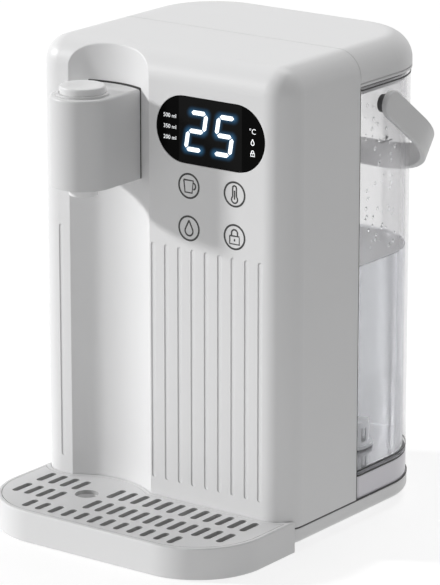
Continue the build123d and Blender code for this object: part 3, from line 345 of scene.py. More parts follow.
def clear_wall(name, colour, veil):
    """A clear polished wall that mirrors more of its surroundings at a glancing view."""
    tree = new_tree(name)
    cloud = tree.noise(40.0, 2.0)
    facing = tree.node("Fresnel", None, {"IOR": GLANCE_IOR})
    values = {
        "Base Color": tree.mix(cloud, colour, tone(0.92)),
        "Roughness": 0.05 + cloud * 0.04,
        "Metallic": 0.25,
        "IOR": CLEAR_IOR,
        "Alpha": veil + facing * GLANCE_VEIL,
    }
    return tree.surface(tree.node("BsdfPrincipled", None, values))


def liquid(name, colour, roughness):
    """A clear liquid, with a faint waviness."""
    tree = new_tree(name)
    wave = tree.noise(26.0, 1.0)
    shade = 1.0 + (wave - 0.5) * 0.02
    base = tree.node("HueSaturation", None, {"Color": colour, "Value": shade})
    bump = tree.node("Bump", None, {"Strength": 0.03, "Distance": 1.0 * MM, "Height": wave})
    values = {
        "Base Color": base,
        "Roughness": roughness + (wave - 0.5) * roughness,
        "IOR": WATER_IOR,
        "Transmission Weight": 1.0,
        "Normal": bump,
    }
    return tree.surface(tree.node("BsdfPrincipled", None, values))


def slotted_painted_shade(name, colour, wall, roughness):
    """Moulded plate whose upright slot walls and rim take a darker colour than its flat face: painted
    shade in the slots and round the rim.
    """
    tree = new_tree(name)
    up = tree.node("SeparateXYZ", None, {0: tree.node("TexCoord", output="Normal")}, "Z")
    cloud = tree.noise(60.0, 3.0)
    shade = 1.0 + (cloud - 0.5) * 0.03
    face = tree.node("HueSaturation", None, {"Color": colour, "Value": shade})
    values = {
        "Base Color": tree.mix(abs(up).above(FLAT_RISE), wall, face),
        "Roughness": roughness + (cloud - 0.5) * 0.08,
    }
    return tree.surface(tree.node("BsdfPrincipled", None, values))


def seal_with_painted_light(name, edge, flat):
    """A flat gasket with a dark outer edge, the rubber's own colour; its pale faces, which show through
    the clear floor, are painted light.
    """
    tree = new_tree(name)
    low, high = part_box("tank_gasket")
    middle = tuple((low + high) / 2)
    normal = tree.node("TexCoord", output="Normal")
    up = tree.node("SeparateXYZ", None, {0: normal}, "Z")
    outwards = tree.node("VectorMath", {"operation": "SUBTRACT"}, {0: tree.place(), 1: middle})
    outer = tree.node("VectorMath", {"operation": "DOT_PRODUCT"}, {0: normal, 1: outwards}, "Value")
    cloud = tree.noise(400.0)
    values = {
        "Base Color": tree.mix(abs(up).below(WALL_RISE) * outer.above(0.0), flat, edge),
        "Roughness": 0.5 + cloud * 0.2,
    }
    return tree.surface(tree.node("BsdfPrincipled", None, values))


def brushed_steel(name):
    """Bare metal with fine upright streaks."""
    tree = new_tree(name)
    stretched = tree.node("Mapping", None, {"Vector": tree.place(), "Scale": BRUSH_SCALE})
    streak = tree.noise(1.0, 4.0, stretched)
    bump = tree.node("Bump", None, {"Strength": 0.05, "Distance": BRUSH_HEIGHT, "Height": streak})
    values = {
        "Base Color": tree.mix(streak, tone(0.52), tone(0.62)),
        "Metallic": 1.0,
        "Roughness": 0.25 + streak * 0.15,
        "Normal": bump,
    }
    return tree.surface(tree.node("BsdfPrincipled", None, values))


def circuit_board(name):
    """Green solder mask with darker copper runs."""
    tree = new_tree(name)
    runs = {"Vector": tree.place(), "Scale": 160.0, "Mortar Size": 0.04}
    cells = tree.node("TexBrick", None, runs, "Fac")
    cloud = tree.noise(60.0)
    values = {
        "Base Color": tree.mix(cells * 0.6 + cloud * 0.2, COPPER_GREEN, MASK_GREEN),
        "Roughness": 0.35 + cloud * 0.2,
    }
    return tree.surface(tree.node("BsdfPrincipled", None, values))


def segment_places(digit):
    """For each lit segment of a digit: its centre, its half length and whether it is upright."""
    upright_z = DIGIT_HALF_H / 2
    places = {
        "a": (0.0, DIGIT_HALF_H, False),
        "g": (0.0, 0.0, False),
        "d": (0.0, -DIGIT_HALF_H, False),
        "f": (-DIGIT_HALF_W, upright_z, True),
        "b": (DIGIT_HALF_W, upright_z, True),
        "e": (-DIGIT_HALF_W, -upright_z, True),
        "c": (DIGIT_HALF_W, -upright_z, True),
    }
    centre_x = digit * DIGIT_PITCH / 2
    for letter in LIT_SEGMENTS[digit]:
        x, z, upright = places[letter]
        half = (DIGIT_HALF_H / 2 if upright else DIGIT_HALF_W) - SEGMENT_GAP
        yield centre_x + x, z, half, upright


def display_glass(name):
    """Polished black with a lighter lamp block, and a blue glow painted round the lit digits as their
    light.
    """
    tree = new_tree(name)
    across = tree.node("SeparateXYZ", None, {0: tree.place()}, "X") - WINDOW_X
    up = tree.node("SeparateXYZ", None, {0: tree.place()}, "Z") - WINDOW_Z
    leaned = across - up * DIGIT_SLANT
    nearest = None
    for digit in LIT_SEGMENTS:
        for x, z, half, upright in segment_places(digit):
            aside = abs(leaned - x)
            along = abs(up - z)
            if upright:
                along = (along - half).most(0.0)
            else:
                aside = (aside - half).most(0.0)
            distance = (aside * aside + along * along).power(0.5)
            nearest = distance if nearest is None else nearest.least(distance)
    painted_glow = (1.0 - nearest / PAINTED_GLOW_REACH).most(0.0).power(PAINTED_GLOW_FALL)
    block = abs(across).below(LED_HALF_W)
    smudge = tree.noise(90.0, 3.0)
    values = {
        "Base Color": tree.mix(block, tone(0.0015), tone(0.009)),
        "Roughness": 0.07 + smudge * 0.05,
        "Emission Color": tree.mix(painted_glow, tone(0.0), PAINTED_GLOW_BLUE),
        "Emission Strength": 1.0,
        "IOR": PLASTIC_IOR,
        "Specular IOR Level": 0.03,
    }
    return tree.surface(tree.node("BsdfPrincipled", None, values))


def lamp(name, colour, strength):
    """Lit display marks, a little uneven."""
    tree = new_tree(name)
    cloud = tree.noise(240.0)
    values = {
        "Base Color": tone(0.6),
        "Roughness": 0.3 + cloud * 0.1,
        "Emission Color": tree.mix(cloud, tone(0.9, colour), tone(1.0, colour)),
        "Emission Strength": strength,
    }
    return tree.surface(tree.node("BsdfPrincipled", None, values))


def make_finishes():
    return {
        "white_satin": moulded("white_satin", tone(0.80, WHITE_TINT), 0.42),
        # The head's white is the housing's white darkened: painted shade
        "white_head_painted_shade": moulded("white_head_painted_shade", tone(0.71, WHITE_TINT), 0.42),
        "white_tray": moulded("white_tray", tone(0.78, WHITE_TINT), 0.45),
        # The darker grey is painted shade on the grille's slot walls and rim
        "white_grille": slotted_painted_shade("white_grille", tone(0.75, WHITE_TINT), tone(0.46), 0.45),
        "white_smooth": moulded("white_smooth", tone(0.82, WHITE_TINT), 0.3),
        # The handle's white is darker than the housing's: painted shade
        "handle_white_painted_shade": moulded("handle_white_painted_shade", tone(0.71, WHITE_TINT), 0.4),
        "lilac_foot": moulded("lilac_foot", tone(0.80, (0.985, 0.965, 1.02)), 0.3, depth=0.01),
        "seal_rubber": moulded("seal_rubber", tone(0.03), 0.6, grain=1500.0, depth=0.1),
        "pivot_grey": moulded("pivot_grey", tone(0.10), 0.4),
        "pump_black": moulded("pump_black", tone(0.045), 0.45),
        "silicone": moulded("silicone", tone(0.72, (1.0, 1.0, 0.97)), 0.5),
        "panel_ink": moulded("panel_ink", tone(0.028), 0.5, edge=PRINT_EDGE_R),
        "mark_ink": moulded("mark_ink", tone(0.22, LILAC_TINT), 0.5, edge=PRINT_EDGE_R),
        "tank_clear": clear_wall("tank_clear", tone(0.92, (0.99, 0.975, 1.02)), 0.02),
        "water": liquid("water", (0.885, 0.90, 0.928, 1), 0.1),
        "drop_water": liquid("drop_water", (0.98, 0.985, 0.99, 1), 0.01),
        # The pale lilac on the gasket's flat faces is painted light; the dark edge is the rubber's own
        # colour
        "foot_seal_painted_light": seal_with_painted_light("foot_seal_painted_light", tone(0.03), tone(0.55, LILAC_TINT)),
        "steel": brushed_steel("steel"),
        "board": circuit_board("board"),
        "display_glass": display_glass("display_glass"),
        "digit_light": lamp("digit_light", (0.86, 0.95, 1.0), 1.25),
        "mark_light": lamp("mark_light", (0.95, 0.98, 1.0), 0.85),
    }


NODE_FINISH = {
    "white_satin": "base_pan tank_deck front_shell rear_wall tank_lid spout_button",
    "white_head_painted_shade": "spout_head spout_floor",
    "white_tray": "drip_tray",
    "white_grille": "drip_grille",
    "white_smooth": "nozzle spout_clamp button_bracket valve_body valve_poppet dock_socket"
    " heater_end_caps",
    "handle_white_painted_shade": "tank_handle",
    "lilac_foot": "tank_skirt",
    "seal_rubber": "lid_gasket valve_seal rubber_feet cord_gland pump_cradle touch_pads",
    "foot_seal_painted_light": "tank_gasket",
    "pivot_grey": "handle_pivots",
    "pump_black": "pump_motor pump_head button_switch",
    "silicone": "inlet_hose transfer_hose outlet_hose",
    "tank_clear": "tank_shell",
    "steel": "base_screws display_screws board_screws button_spring valve_spring heater_tube"
    " heater_bracket thermal_cutout",
    "board": "display_board power_board",
    "display_glass": "display_window",
}


def dress_nodes(finishes):
    for finish, nodes in NODE_FINISH.items():
        for node in nodes.split():
            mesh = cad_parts[node].data
            mesh.materials.clear()
            mesh.materials.append(finishes[finish])


# Modelling helpers


def begin():
    if bpy.context.object and bpy.context.object.mode != "OBJECT":
        bpy.ops.object.mode_set(mode="OBJECT")
    bpy.ops.object.select_all(action="DESELECT")


def take(name):
    """Name the object just added and put its place into its mesh."""
    piece = bpy.context.object
    piece.name = name
    bpy.ops.object.transform_apply(location=True, rotation=True, scale=True)
    return piece


def edit(piece, test, kind="faces"):
    """Enter edit mode with only the elements selected whose centre passes the test."""
    bpy.ops.object.mode_set(mode="EDIT")
    bpy.ops.mesh.select_mode(type={"faces": "FACE", "edges": "EDGE", "verts": "VERT"}[kind])
    bpy.ops.mesh.select_all(action="DESELECT")
    shape = bmesh.from_edit_mesh(piece.data)
    for element in getattr(shape, kind):
        if kind == "faces":
            centre = element.calc_center_median()
        elif kind == "edges":
            centre = (element.verts[0].co + element.verts[1].co) / 2
        else:
            centre = element.co
        element.select_set(test(centre))
    shape.select_flush_mode()
    bmesh.update_edit_mesh(piece.data)


def close(piece):
    """Leave edit mode with doubles merged and faces outwards."""
    bpy.ops.mesh.select_all(action="SELECT")
    bpy.ops.mesh.remove_doubles(threshold=1e-6)
    bpy.ops.mesh.normals_make_consistent(inside=False)
    bpy.ops.object.mode_set(mode="OBJECT")
    return piece


def everything(centre):
    return True


def extrude(x, y, z):
    """Pull the selected faces out along a vector."""
    bpy.ops.mesh.extrude_region_move(TRANSFORM_OT_translate={"value": (x, y, z)})


def blunt(piece, offset, segments=1):
    """Take the sharpness off all edges of a piece."""
    edit(piece, everything, "edges")
    bpy.ops.mesh.bevel(offset=offset, segments=segments, affect="EDGES")
    return close(piece)


def smooth(degrees):
    """Shade the active piece smooth, except over edges sharper than an angle."""
    bpy.ops.object.shade_smooth_by_angle(angle=math.radians(degrees))


def copied(pattern, place, size=1.0):
    """A copy with its own mesh, resized about the origin and moved by its place."""
    piece = pattern.copy()
    piece.data = pattern.data.copy()
    for vertex in piece.data.vertices:
        vertex.co = Vector(place) + vertex.co * size
    bpy.context.scene.collection.objects.link(piece)
    return piece


def join(pieces, name):
    begin()
    for piece in pieces:
        piece.select_set(True)
    bpy.context.view_layer.objects.active = pieces[0]
    if len(pieces) > 1:
        bpy.ops.object.join()
    joined = bpy.context.object
    joined.name = name
    joined.data.name = name
    return joined


def settle(piece, finish, body):
    piece.data.materials.clear()
    piece.data.materials.append(finish)
    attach(piece, body)


# Front panel print


def printed_ring():
    """A flat ring about the origin, facing the front."""
    begin()
    bpy.ops.mesh.primitive_circle_add(
        vertices=RING_SIDES, radius=KEY_RING_R, fill_type="NGON", rotation=(math.pi / 2, 0, 0)
    )
    piece = take("ring")
    edit(piece, everything)
    bpy.ops.mesh.inset(thickness=KEY_RING_W)
    bpy.ops.mesh.delete(type="FACE")
    bpy.ops.mesh.select_all(action="SELECT")
    extrude(0, -INK_T, 0)
    return close(piece)


def arc(x, z, radius, start, end, steps=16):
    """Points on an arc between two angles in degrees, from the right, anticlockwise."""
    angles = [math.radians(start + (end - start) * i / steps) for i in range(steps + 1)]
    return [(x + radius * math.cos(a), z + radius * math.sin(a)) for a in angles]


def drop_strokes():
    side = arc(0, -1.1, 2.0, 150, 390)
    return [[(0, 3.4), *side, (0, 3.4)]]


def cup_strokes():
    body = [(-2.6, 2.4), (-2.0, -2.8), (1.6, -2.8), (2.2, 2.4), (-2.6, 2.4)]
    return [body, arc(2.0, 0.1, 1.4, -80, 85)]


def thermometer_strokes():
    tube = [(-0.95, -1.05), (-0.95, 2.6), *arc(0, 2.6, 0.95, 180, 0, 8), (0.95, -1.05)]
    bulb = arc(0, -2.2, 1.5, 130, 410)
    return [tube, bulb, [(0, -2.2), (0, 1.6)]]


def padlock_strokes():
    body = [(-2.4, 0.4), (-2.4, -3.0), (2.4, -3.0), (2.4, 0.4), (-2.4, 0.4)]
    return [body, [(-1.5, 0.4), *arc(0, 1.6, 1.5, 180, 0), (1.5, 0.4)], [(0, -0.8), (0, -1.8)]]


def line_icon(name, strokes, x, z, scale, line, depth):
    """An icon of even strokes, laid flat on the panel."""
    begin()
    drawn = bpy.data.curves.new(name, "CURVE")
    drawn.dimensions = "3D"
    drawn.bevel_depth = line / 2
    drawn.bevel_resolution = 2
    drawn.use_fill_caps = True
    for stroke in strokes:
        spline = drawn.splines.new("POLY")
        spline.points.add(len(stroke) - 1)
        for point, (px, pz) in zip(spline.points, stroke):
            point.co = (x + px * scale, FRONT_Y, z + pz * scale, 1)
    piece = bpy.data.objects.new(name, drawn)
    bpy.context.scene.collection.objects.link(piece)
    piece.select_set(True)
    bpy.context.view_layer.objects.active = piece
    bpy.ops.object.convert(target="MESH")
    piece = bpy.context.object
    for vertex in piece.data.vertices:
        vertex.co.y = FRONT_Y + (vertex.co.y - FRONT_Y) * depth * 2 / line
    return piece


def make_keys(finishes):
    icons = {
        "cup": (cup_strokes(), 0, 0),
        "thermometer": (thermometer_strokes(), 1, 0),
        "drop": (drop_strokes(), 0, 1),
        "padlock": (padlock_strokes(), 1, 1),
    }
    pattern = printed_ring()
    for name, (strokes, column, row) in icons.items():
        x, z = KEY_X[column], KEY_Z[row]
        ring = copied(pattern, (x, FRONT_Y, z))
        icon = line_icon("icon", strokes, x, z, ICON_SIZE, ICON_LINE, INK_T)
        key = join([ring, icon], "key_print_" + name)
        settle(key, finishes["panel_ink"], "dispenser")
    bpy.data.objects.remove(pattern)


# Display


def lit_segment(half, upright):
    """A bar with pointed ends about the origin, facing the front."""
    begin()
    bpy.ops.mesh.primitive_plane_add(size=1, rotation=(math.pi / 2, 0, 0))
    size = (SEGMENT_W, 2 * half) if upright else (2 * half, SEGMENT_W)
    bpy.context.object.scale = (*size, 1)
    piece = take("segment")
    edit(piece, everything, "verts")
    bpy.ops.mesh.bevel(offset=SEGMENT_POINT, affect="VERTICES")
    bpy.ops.mesh.select_all(action="SELECT")
    extrude(0, -DIGIT_T, 0)
    return close(piece)


def make_digits(finish):
    """Two leaning digits of lit bars, standing just proud of the window."""
    patterns = {}
    bars = []
    for digit in LIT_SEGMENTS:
        for x, z, half, upright in segment_places(digit):
            if upright not in patterns:
                patterns[upright] = lit_segment(half, upright)
            bars.append(copied(patterns[upright], (WINDOW_X + x, FRONT_Y, WINDOW_Z + z)))
    for pattern in patterns.values():
        bpy.data.objects.remove(pattern)
    digits = join(bars, "display_digits")
    for vertex in digits.data.vertices:
        vertex.co.x += DIGIT_SLANT * (vertex.co.z - WINDOW_Z)
    settle(digits, finish, "dispenser")


def flat_text(name, words, x, z, size):
    begin()
    bpy.ops.object.text_add(location=(x, FRONT_Y - DIGIT_T, z), rotation=(math.pi / 2, 0, 0))
    piece = bpy.context.object
    piece.data.body = words
    piece.data.size = size
    piece.data.align_x = "CENTER"
    piece.data.align_y = "CENTER"
    piece.data.extrude = DIGIT_T / 2
    piece.data.offset = -LABEL_THIN
    bpy.ops.object.convert(target="MESH")
    return take(name)


def make_marks(finish):
    """Volume labels on the left of the digits, the unit and two icons on the right."""
    marks = []
    for row, words in enumerate(LABELS):
        z = WINDOW_Z + LABEL_Z + (1 - row) * LABEL_PITCH
        marks.append(flat_text("label", words, WINDOW_X + LABEL_X, z, LABEL_SIZE))
    x = WINDOW_X + MARK_X
    marks.append(flat_text("unit", "°C", x, WINDOW_Z + LABEL_PITCH - UNIT_DROP, MARK_SIZE))
    icons = {DROP_MARK_Z: drop_strokes(), LOCK_MARK_Z: padlock_strokes()}
    for z, strokes in icons.items():
        marks.append(line_icon("icon", strokes, x, WINDOW_Z + z, MARK_ICON_SIZE, MARK_LINE, DIGIT_T))
    settle(join(marks, "display_marks"), finish, "dispenser")


# Painted shade round the back of the spout head


def make_head_shade_sheet(finish):
    """A thin dark curved sheet on the niche wall, standing a little proud of the head's sides: painted
    shade in the gap round the head.
    """
    low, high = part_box("spout_head")
    centre_x = (low.x + high.x) / 2
    width = high.x - low.x + 2 * SHADE_SHEET_PROUD
    height = high.z - low.z - SHADE_SHEET_DROP
    radius = NICHE_R - SHADE_SHEET_GAP
    axis_y = FRONT_Y + NICHE_DEPTH - NICHE_R
    begin()
    place = (centre_x, axis_y + radius, low.z + height / 2)
    bpy.ops.mesh.primitive_plane_add(size=1, location=place, rotation=(math.pi / 2, 0, 0))
    bpy.context.object.scale = (width, height, 1)
    piece = take("head_shade_sheet")
    edit(piece, lambda centre: abs(centre.x - centre_x) < MM, "edges")
    bpy.ops.mesh.subdivide(number_cuts=31)
    bpy.ops.object.mode_set(mode="OBJECT")
    for vertex in piece.data.vertices:
        aside = vertex.co.x - centre_x
        vertex.co.y = axis_y + math.sqrt(radius**2 - aside**2)
    edit(piece, everything)
    extrude(0, -SHADE_SHEET_T, 0)
    close(piece)
    settle(piece, finish, "dispenser")


# Dark bands, partly painted shade in the seams


def outline_band(name, low, high, corners, z, height):
    """A thin upright band that follows the two sides and the rounded back of a plan."""
    begin()
    middle = (low + high) / 2
    bpy.ops.mesh.primitive_plane_add(size=1, location=(middle.x, middle.y, z))
    bpy.context.object.scale = (high.x - low.x, high.y - low.y, 1)
    piece = take(name)
    for radius, rear in zip(corners, (False, True)):
        edit(piece, lambda centre: (centre.y > middle.y) == rear, "verts")
        bpy.ops.mesh.bevel(offset=radius, segments=CORNER_STEPS, affect="VERTICES")
    edit(piece, everything)
    bpy.ops.mesh.inset(thickness=LINE_DEPTH)
    bpy.ops.mesh.delete(type="FACE")
    front = low.y + LINE_DEPTH * 1.5
    edit(piece, lambda centre: centre.y < front)
    bpy.ops.mesh.delete(type="FACE")
    edit(piece, everything)
    extrude(0, 0, height)
    return close(piece)


def rear_shade_strips():
    """Two dark strips in the slits between the housing's sides and the tank, painted shade there."""
    low_z = BASE_SHADE_Z + BASE_SHADE_H
    high_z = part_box("lid_gasket")[0].z
    x = SHELL_HIGH.x - SHADE_STRIP_DEEP / 2 - SHADE_STRIP_SUNK
    y = SHELL_HIGH.y + SHADE_STRIP_W / 2
    begin()
    bpy.ops.mesh.primitive_cube_add(size=1, location=(x, y, (low_z + high_z) / 2))
    bpy.context.object.scale = (SHADE_STRIP_DEEP, SHADE_STRIP_W, high_z - low_z)
    right = blunt(take("shade_strip"), SHADE_STRIP_EDGE_R, 2)
    return [right, copied(right, (-2 * x, 0, 0))]


def make_dark_bands(finish):
    """Dark lines over the base, under the lid, at the tank's floor and down the rear edges; the one over
    the base and those down the rear edges are painted shade in the seams.
    """
    tank = (TANK_LOW, TANK_HIGH)
    rim_z = TANK_HIGH.z - RIM_LINE_DROP
    floor_z = TANK_LOW.z + FLOOR_LINE_RISE
    bands = {
        "base_shade_line": ("dispenser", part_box("base_pan"), BODY_CORNER_R, BASE_SHADE_Z, BASE_SHADE_H),
        "rim_line": ("tank", tank, TANK_CORNER_R, rim_z, RIM_LINE_H),
        "floor_line": ("tank", tank, TANK_CORNER_R, floor_z, FLOOR_LINE_H),
    }
    grow = Vector((LINE_PROUD, LINE_PROUD, 0))
    for name, (body, (low, high), corners, z, height) in bands.items():
        line = outline_band(name, low - grow, high + grow, corners, z, height)
        settle(line, finish, body)
    settle(join(rear_shade_strips(), "rear_shade_strips"), finish, "dispenser")


def make_parting_strip(finish):
    """A white strip in the seam between housing and lid, over the top and down both sides."""
    lid_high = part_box("tank_lid")[1]
    side_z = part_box("lid_gasket")[1].z
    half_w = lid_high.x - STRIP_SUNK
    top_z = lid_high.z - STRIP_SUNK
    middle_z = (side_z + top_z) / 2
    begin()
    place = (0, SHELL_HIGH.y, middle_z)
    bpy.ops.mesh.primitive_plane_add(size=1, location=place, rotation=(math.pi / 2, 0, 0))
    bpy.context.object.scale = (2 * half_w, top_z - side_z, 1)
    piece = take("parting_strip")
    edit(piece, lambda centre: centre.z > middle_z, "verts")
    bpy.ops.mesh.bevel(offset=TOP_EDGE_R, segments=24, affect="VERTICES")
    edit(piece, everything)
    bpy.ops.mesh.inset(thickness=STRIP_DEEP)
    bpy.ops.mesh.delete(type="FACE")

    def along_the_bottom(centre):
        return centre.z < side_z + STRIP_DEEP * 0.75 and abs(centre.x) < half_w - STRIP_DEEP

    edit(piece, along_the_bottom)
    bpy.ops.mesh.delete(type="FACE")
    edit(piece, everything)
    extrude(0, STRIP_W, 0)
    close(piece)
    settle(piece, finish, "dispenser")


# Nozzle


def make_nozzle(finish):
    """A ring that hangs below the head, with a stepped mouth."""
    low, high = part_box("nozzle")
    middle = (low + high) / 2
    head_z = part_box("spout_head")[0].z
    begin()
    place = (middle.x, middle.y, head_z)
    radius = (high.x - low.x) / 2
    bpy.ops.mesh.primitive_circle_add(vertices=RING_SIDES, radius=radius, fill_type="NGON", location=place)
    piece = take("nozzle_ring")
    edit(piece, everything)
    extrude(0, 0, NOZZLE_BOTTOM_Z - head_z)
    mouth = ((NOZZLE_LIP, NOZZLE_LIP), (NOZZLE_LIP, -NOZZLE_LIP), (NOZZLE_TIP_WALL, NOZZLE_BORE_DEEP))
    for wall, rise in mouth:
        bpy.ops.mesh.inset(thickness=wall)
        extrude(0, 0, rise)
    close(piece)
    edit(piece, lambda centre: centre.z < NOZZLE_BOTTOM_Z + TOUCH, "edges")
    bpy.ops.mesh.bevel(offset=NOZZLE_EDGE_R, segments=4, affect="EDGES")
    close(piece)
    smooth(35)
    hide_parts("nozzle")
    settle(piece, finish, "dispenser")


# Springs


def coil_spring(node, finish, body):
    """A wound wire in the place of a spring node."""
    low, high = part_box(node)
    middle = (low + high) / 2
    coil_r = (high.x - low.x) / 2 - SPRING_WIRE_R
    height = high.z - low.z
    begin()
    bpy.ops.mesh.primitive_circle_add(
        vertices=12, radius=SPRING_WIRE_R, location=(coil_r, 0, 0), rotation=(math.pi / 2, 0, 0)
    )
    piece = take(node + "_coil")
    winding = piece.modifiers.new("winding", "SCREW")
    winding.axis = "Z"
    winding.iterations = SPRING_TURNS
    winding.screw_offset = (height - 2 * SPRING_WIRE_R) / SPRING_TURNS
    winding.steps = SPRING_STEPS
    winding.render_steps = SPRING_STEPS
    bpy.ops.object.modifier_apply(modifier="winding")
    edit(piece, everything)
    bpy.ops.mesh.fill_holes(sides=0)
    bpy.ops.mesh.select_all(action="SELECT")
    bpy.ops.transform.translate(value=(middle.x, middle.y, low.z + SPRING_WIRE_R))
    close(piece)
    smooth(40)
    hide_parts(node)
    settle(piece, finish, body)
    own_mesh(piece)


def make_springs(finish):
    coil_spring("button_spring", finish, "dispenser")
    coil_spring("valve_spring", finish, "tank")


# Water


def make_water(finish):
    """The filling, with a raised edge where it meets the walls."""
    inset = TANK_WALL - WATER_LAP
    low = Vector((TANK_LOW.x + inset, TANK_LOW.y + inset, TANK_LOW.z + TANK_FLOOR_T - WATER_LAP))
    high = Vector((TANK_HIGH.x - inset, TANK_HIGH.y - inset, WATER_Z))
    begin()
    bpy.ops.mesh.primitive_cube_add(size=1, location=(low + high) / 2)
    bpy.context.object.scale = high - low
    piece = take("tank_water")
    middle_y = (low.y + high.y) / 2

    def upright(centre):
        return low.z + MM < centre.z < high.z - MM

    def rear_corner(centre):
        return upright(centre) and centre.y > middle_y

    def front_corner(centre):
        return upright(centre) and centre.y < low.y + MM and abs(centre.x) > high.x - MM

    edit(piece, rear_corner, "edges")
    bpy.ops.mesh.bevel(offset=TANK_REAR_R - inset, segments=CORNER_STEPS, affect="EDGES")
    edit(piece, front_corner, "edges")
    bpy.ops.mesh.bevel(offset=TANK_FRONT_R - inset / 2, segments=6, affect="EDGES")
    edit(piece, lambda centre: centre.z > high.z - TOUCH)
    for width, drop in MENISCUS_STEPS:
        bpy.ops.mesh.inset(thickness=width)
        bpy.ops.transform.translate(value=(0, 0, -drop))
    close(piece)
    smooth(40)
    settle(piece, finish, "tank")


# Finger cup in the grille


def make_finger_cup(finish):
    """A shallow cup moulded to the grille's underside, so a fingertip finds its hole."""
    plate_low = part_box("drip_grille")[0]
    top = plate_low.z - CUP_SEAM
    begin()
    place = (HOLE_X, FRONT_Y + HOLE_Y, top - CUP_DEPTH)
    bpy.ops.mesh.primitive_circle_add(vertices=64, radius=CUP_R, fill_type="NGON", location=place)
    piece = take("finger_cup")
    edit(piece, everything)
    extrude(0, 0, CUP_DEPTH)
    bpy.ops.mesh.inset(thickness=CUP_WALL)
    extrude(0, 0, CUP_WALL - CUP_DEPTH)
    bpy.ops.transform.resize(value=(CUP_TAPER, CUP_TAPER, 1))
    close(piece)
    edit(piece, lambda centre: centre.z < top - CUP_DEPTH + CUP_WALL * 1.5, "edges")
    bpy.ops.mesh.bevel(offset=CUP_EDGE_R, segments=4, affect="EDGES")
    close(piece)
    smooth(50)
    settle(piece, finish, "grille")


# Drops and fill mark on the tank


def water_drop():
    """Half a flattened ball, flat side on the wall."""
    begin()
    bpy.ops.mesh.primitive_uv_sphere_add(segments=16, ring_count=10, radius=1.0)
    piece = take("drop")
    edit(piece, everything)
    bpy.ops.mesh.bisect(plane_co=(0, 0, 0), plane_no=(1, 0, 0), use_fill=True, clear_outer=True)
    close(piece)
    for vertex in piece.data.vertices:
        vertex.co.x *= DROP_FLAT
        if vertex.co.z > 0:
            vertex.co.z *= DROP_TALL
    smooth(50)
    return piece


def make_drops(finish):
    """Drops scattered over the dry part of the wall, near the housing."""
    chance = random.Random(DROP_SEED)
    wall_x = TANK_HIGH.x - TANK_WALL
    pattern = water_drop()
    drops = []
    for _ in range(DROP_COUNT):
        radius = chance.uniform(*DROP_R)
        y = chance.uniform(TANK_LOW.y + DROP_BAND[0], TANK_LOW.y + DROP_BAND[1])
        z = chance.uniform(WATER_Z + DROP_OVER_WATER, TANK_HIGH.z - DROP_UNDER_RIM)
        drops.append(copied(pattern, (wall_x, y, z), radius))
    bpy.data.objects.remove(pattern)
    settle(join(drops, "wall_drops"), finish, "tank")


def make_fill_mark(finish):
    """A line with a pointer above it, printed on the tank's right wall."""
    x = TANK_HIGH.x + FILL_T / 2
    y = FRONT_Y + FILL_Y
    begin()
    bpy.ops.mesh.primitive_cube_add(size=1, location=(x, y, FILL_Z))
    bpy.context.object.scale = (FILL_T, FILL_L, FILL_H)
    line = blunt(take("line"), FILL_EDGE)
    begin()
    place = (x, y, FILL_Z + POINTER_R)
    bpy.ops.mesh.primitive_cylinder_add(
        vertices=3, radius=POINTER_R, depth=FILL_T, location=place, rotation=(0, math.pi / 2, 0)
    )
    pointer = blunt(take("pointer"), FILL_EDGE)
    settle(join([line, pointer], "fill_mark"), finish, "tank")


# Stage


def make_camera():
    data = bpy.data.cameras.new("camera")
    data.lens = CAMERA_LENS
    data.clip_end = 100
    camera = bpy.data.objects.new("camera", data)
    camera.location = CAMERA_PLACE
    camera.rotation_euler = Vector(CAMERA_LOOK).to_track_quat("-Z", "Y").to_euler()
    bpy.context.scene.collection.objects.link(camera)
    bpy.context.scene.camera = camera


def seen_directly(tree):
    """1 for the camera, and for what glossy and clear surfaces show."""
    seen = tree.node("LightPath", output="Is Camera Ray")
    gloss = tree.node("LightPath", output="Is Glossy Ray")
    clear = tree.node("LightPath", output="Is Transmission Ray")
    return seen.most(gloss).most(clear)


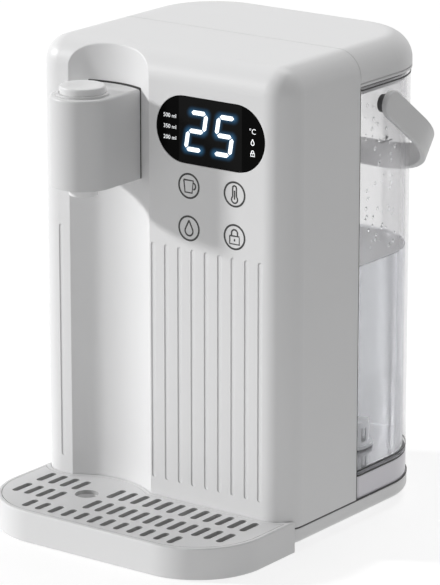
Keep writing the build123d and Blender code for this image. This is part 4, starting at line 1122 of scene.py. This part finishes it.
def make_world():
    world = bpy.data.worlds.new("room")
    bpy.context.scene.world = world
    tree = Tree(world)
    strength = ROOM_LIGHT + seen_directly(tree) * (1.0 - ROOM_LIGHT)
    sky = tree.node("Background", None, {"Color": tone(1.0), "Strength": strength})
    tree.node_output(sky, "OutputWorld")


def make_lights():
    for name, light in LIGHTS.items():
        data = bpy.data.lights.new(name, "SUN")
        data.energy = light["strength"]
        data.angle = math.radians(light["angle"])
        lamp_object = bpy.data.objects.new(name, data)
        azimuth, elevation = math.radians(light["azimuth"]), math.radians(light["elevation"])
        flat = math.cos(elevation)
        towards = Vector((math.sin(azimuth) * flat, -math.cos(azimuth) * flat, math.sin(elevation)))
        lamp_object.rotation_euler = towards.to_track_quat("Z", "Y").to_euler()
        bpy.context.scene.collection.objects.link(lamp_object)


def make_floor():
    begin()
    bpy.ops.mesh.primitive_plane_add(size=FLOOR_SIZE, location=(0, 0, 0))
    floor = bpy.context.object
    floor.name = "floor"
    tree = new_tree("floor_white")
    away = tree.node("VectorMath", {"operation": "LENGTH"}, {0: tree.place()}, "Value")
    bounce = (1.0 - away / BOUNCE_REACH).most(0.0) * BOUNCE_LIGHT
    seen = seen_directly(tree)
    values = {
        "Base Color": tone(FLOOR_TONE),
        "Roughness": 0.9,
        "Specular IOR Level": 0.0,
        "Emission Color": bounce + seen * (FLOOR_SEEN - bounce),
        "Emission Strength": 1.0,
    }
    floor.data.materials.append(tree.surface(tree.node("BsdfPrincipled", None, values)))


bpy.context.scene.view_settings.view_transform = "Standard"
finishes = make_finishes()
dress_nodes(finishes)
make_keys(finishes)
make_digits(finishes["digit_light"])
make_marks(finishes["mark_light"])
make_head_shade_sheet(finishes["seal_rubber"])
make_dark_bands(finishes["seal_rubber"])
make_parting_strip(finishes["white_satin"])
make_nozzle(finishes["white_smooth"])
make_springs(finishes["steel"])
make_water(finishes["water"])
make_finger_cup(finishes["white_tray"])
make_drops(finishes["drop_water"])
make_fill_mark(finishes["mark_ink"])
make_camera()
make_world()
make_lights()
make_floor()
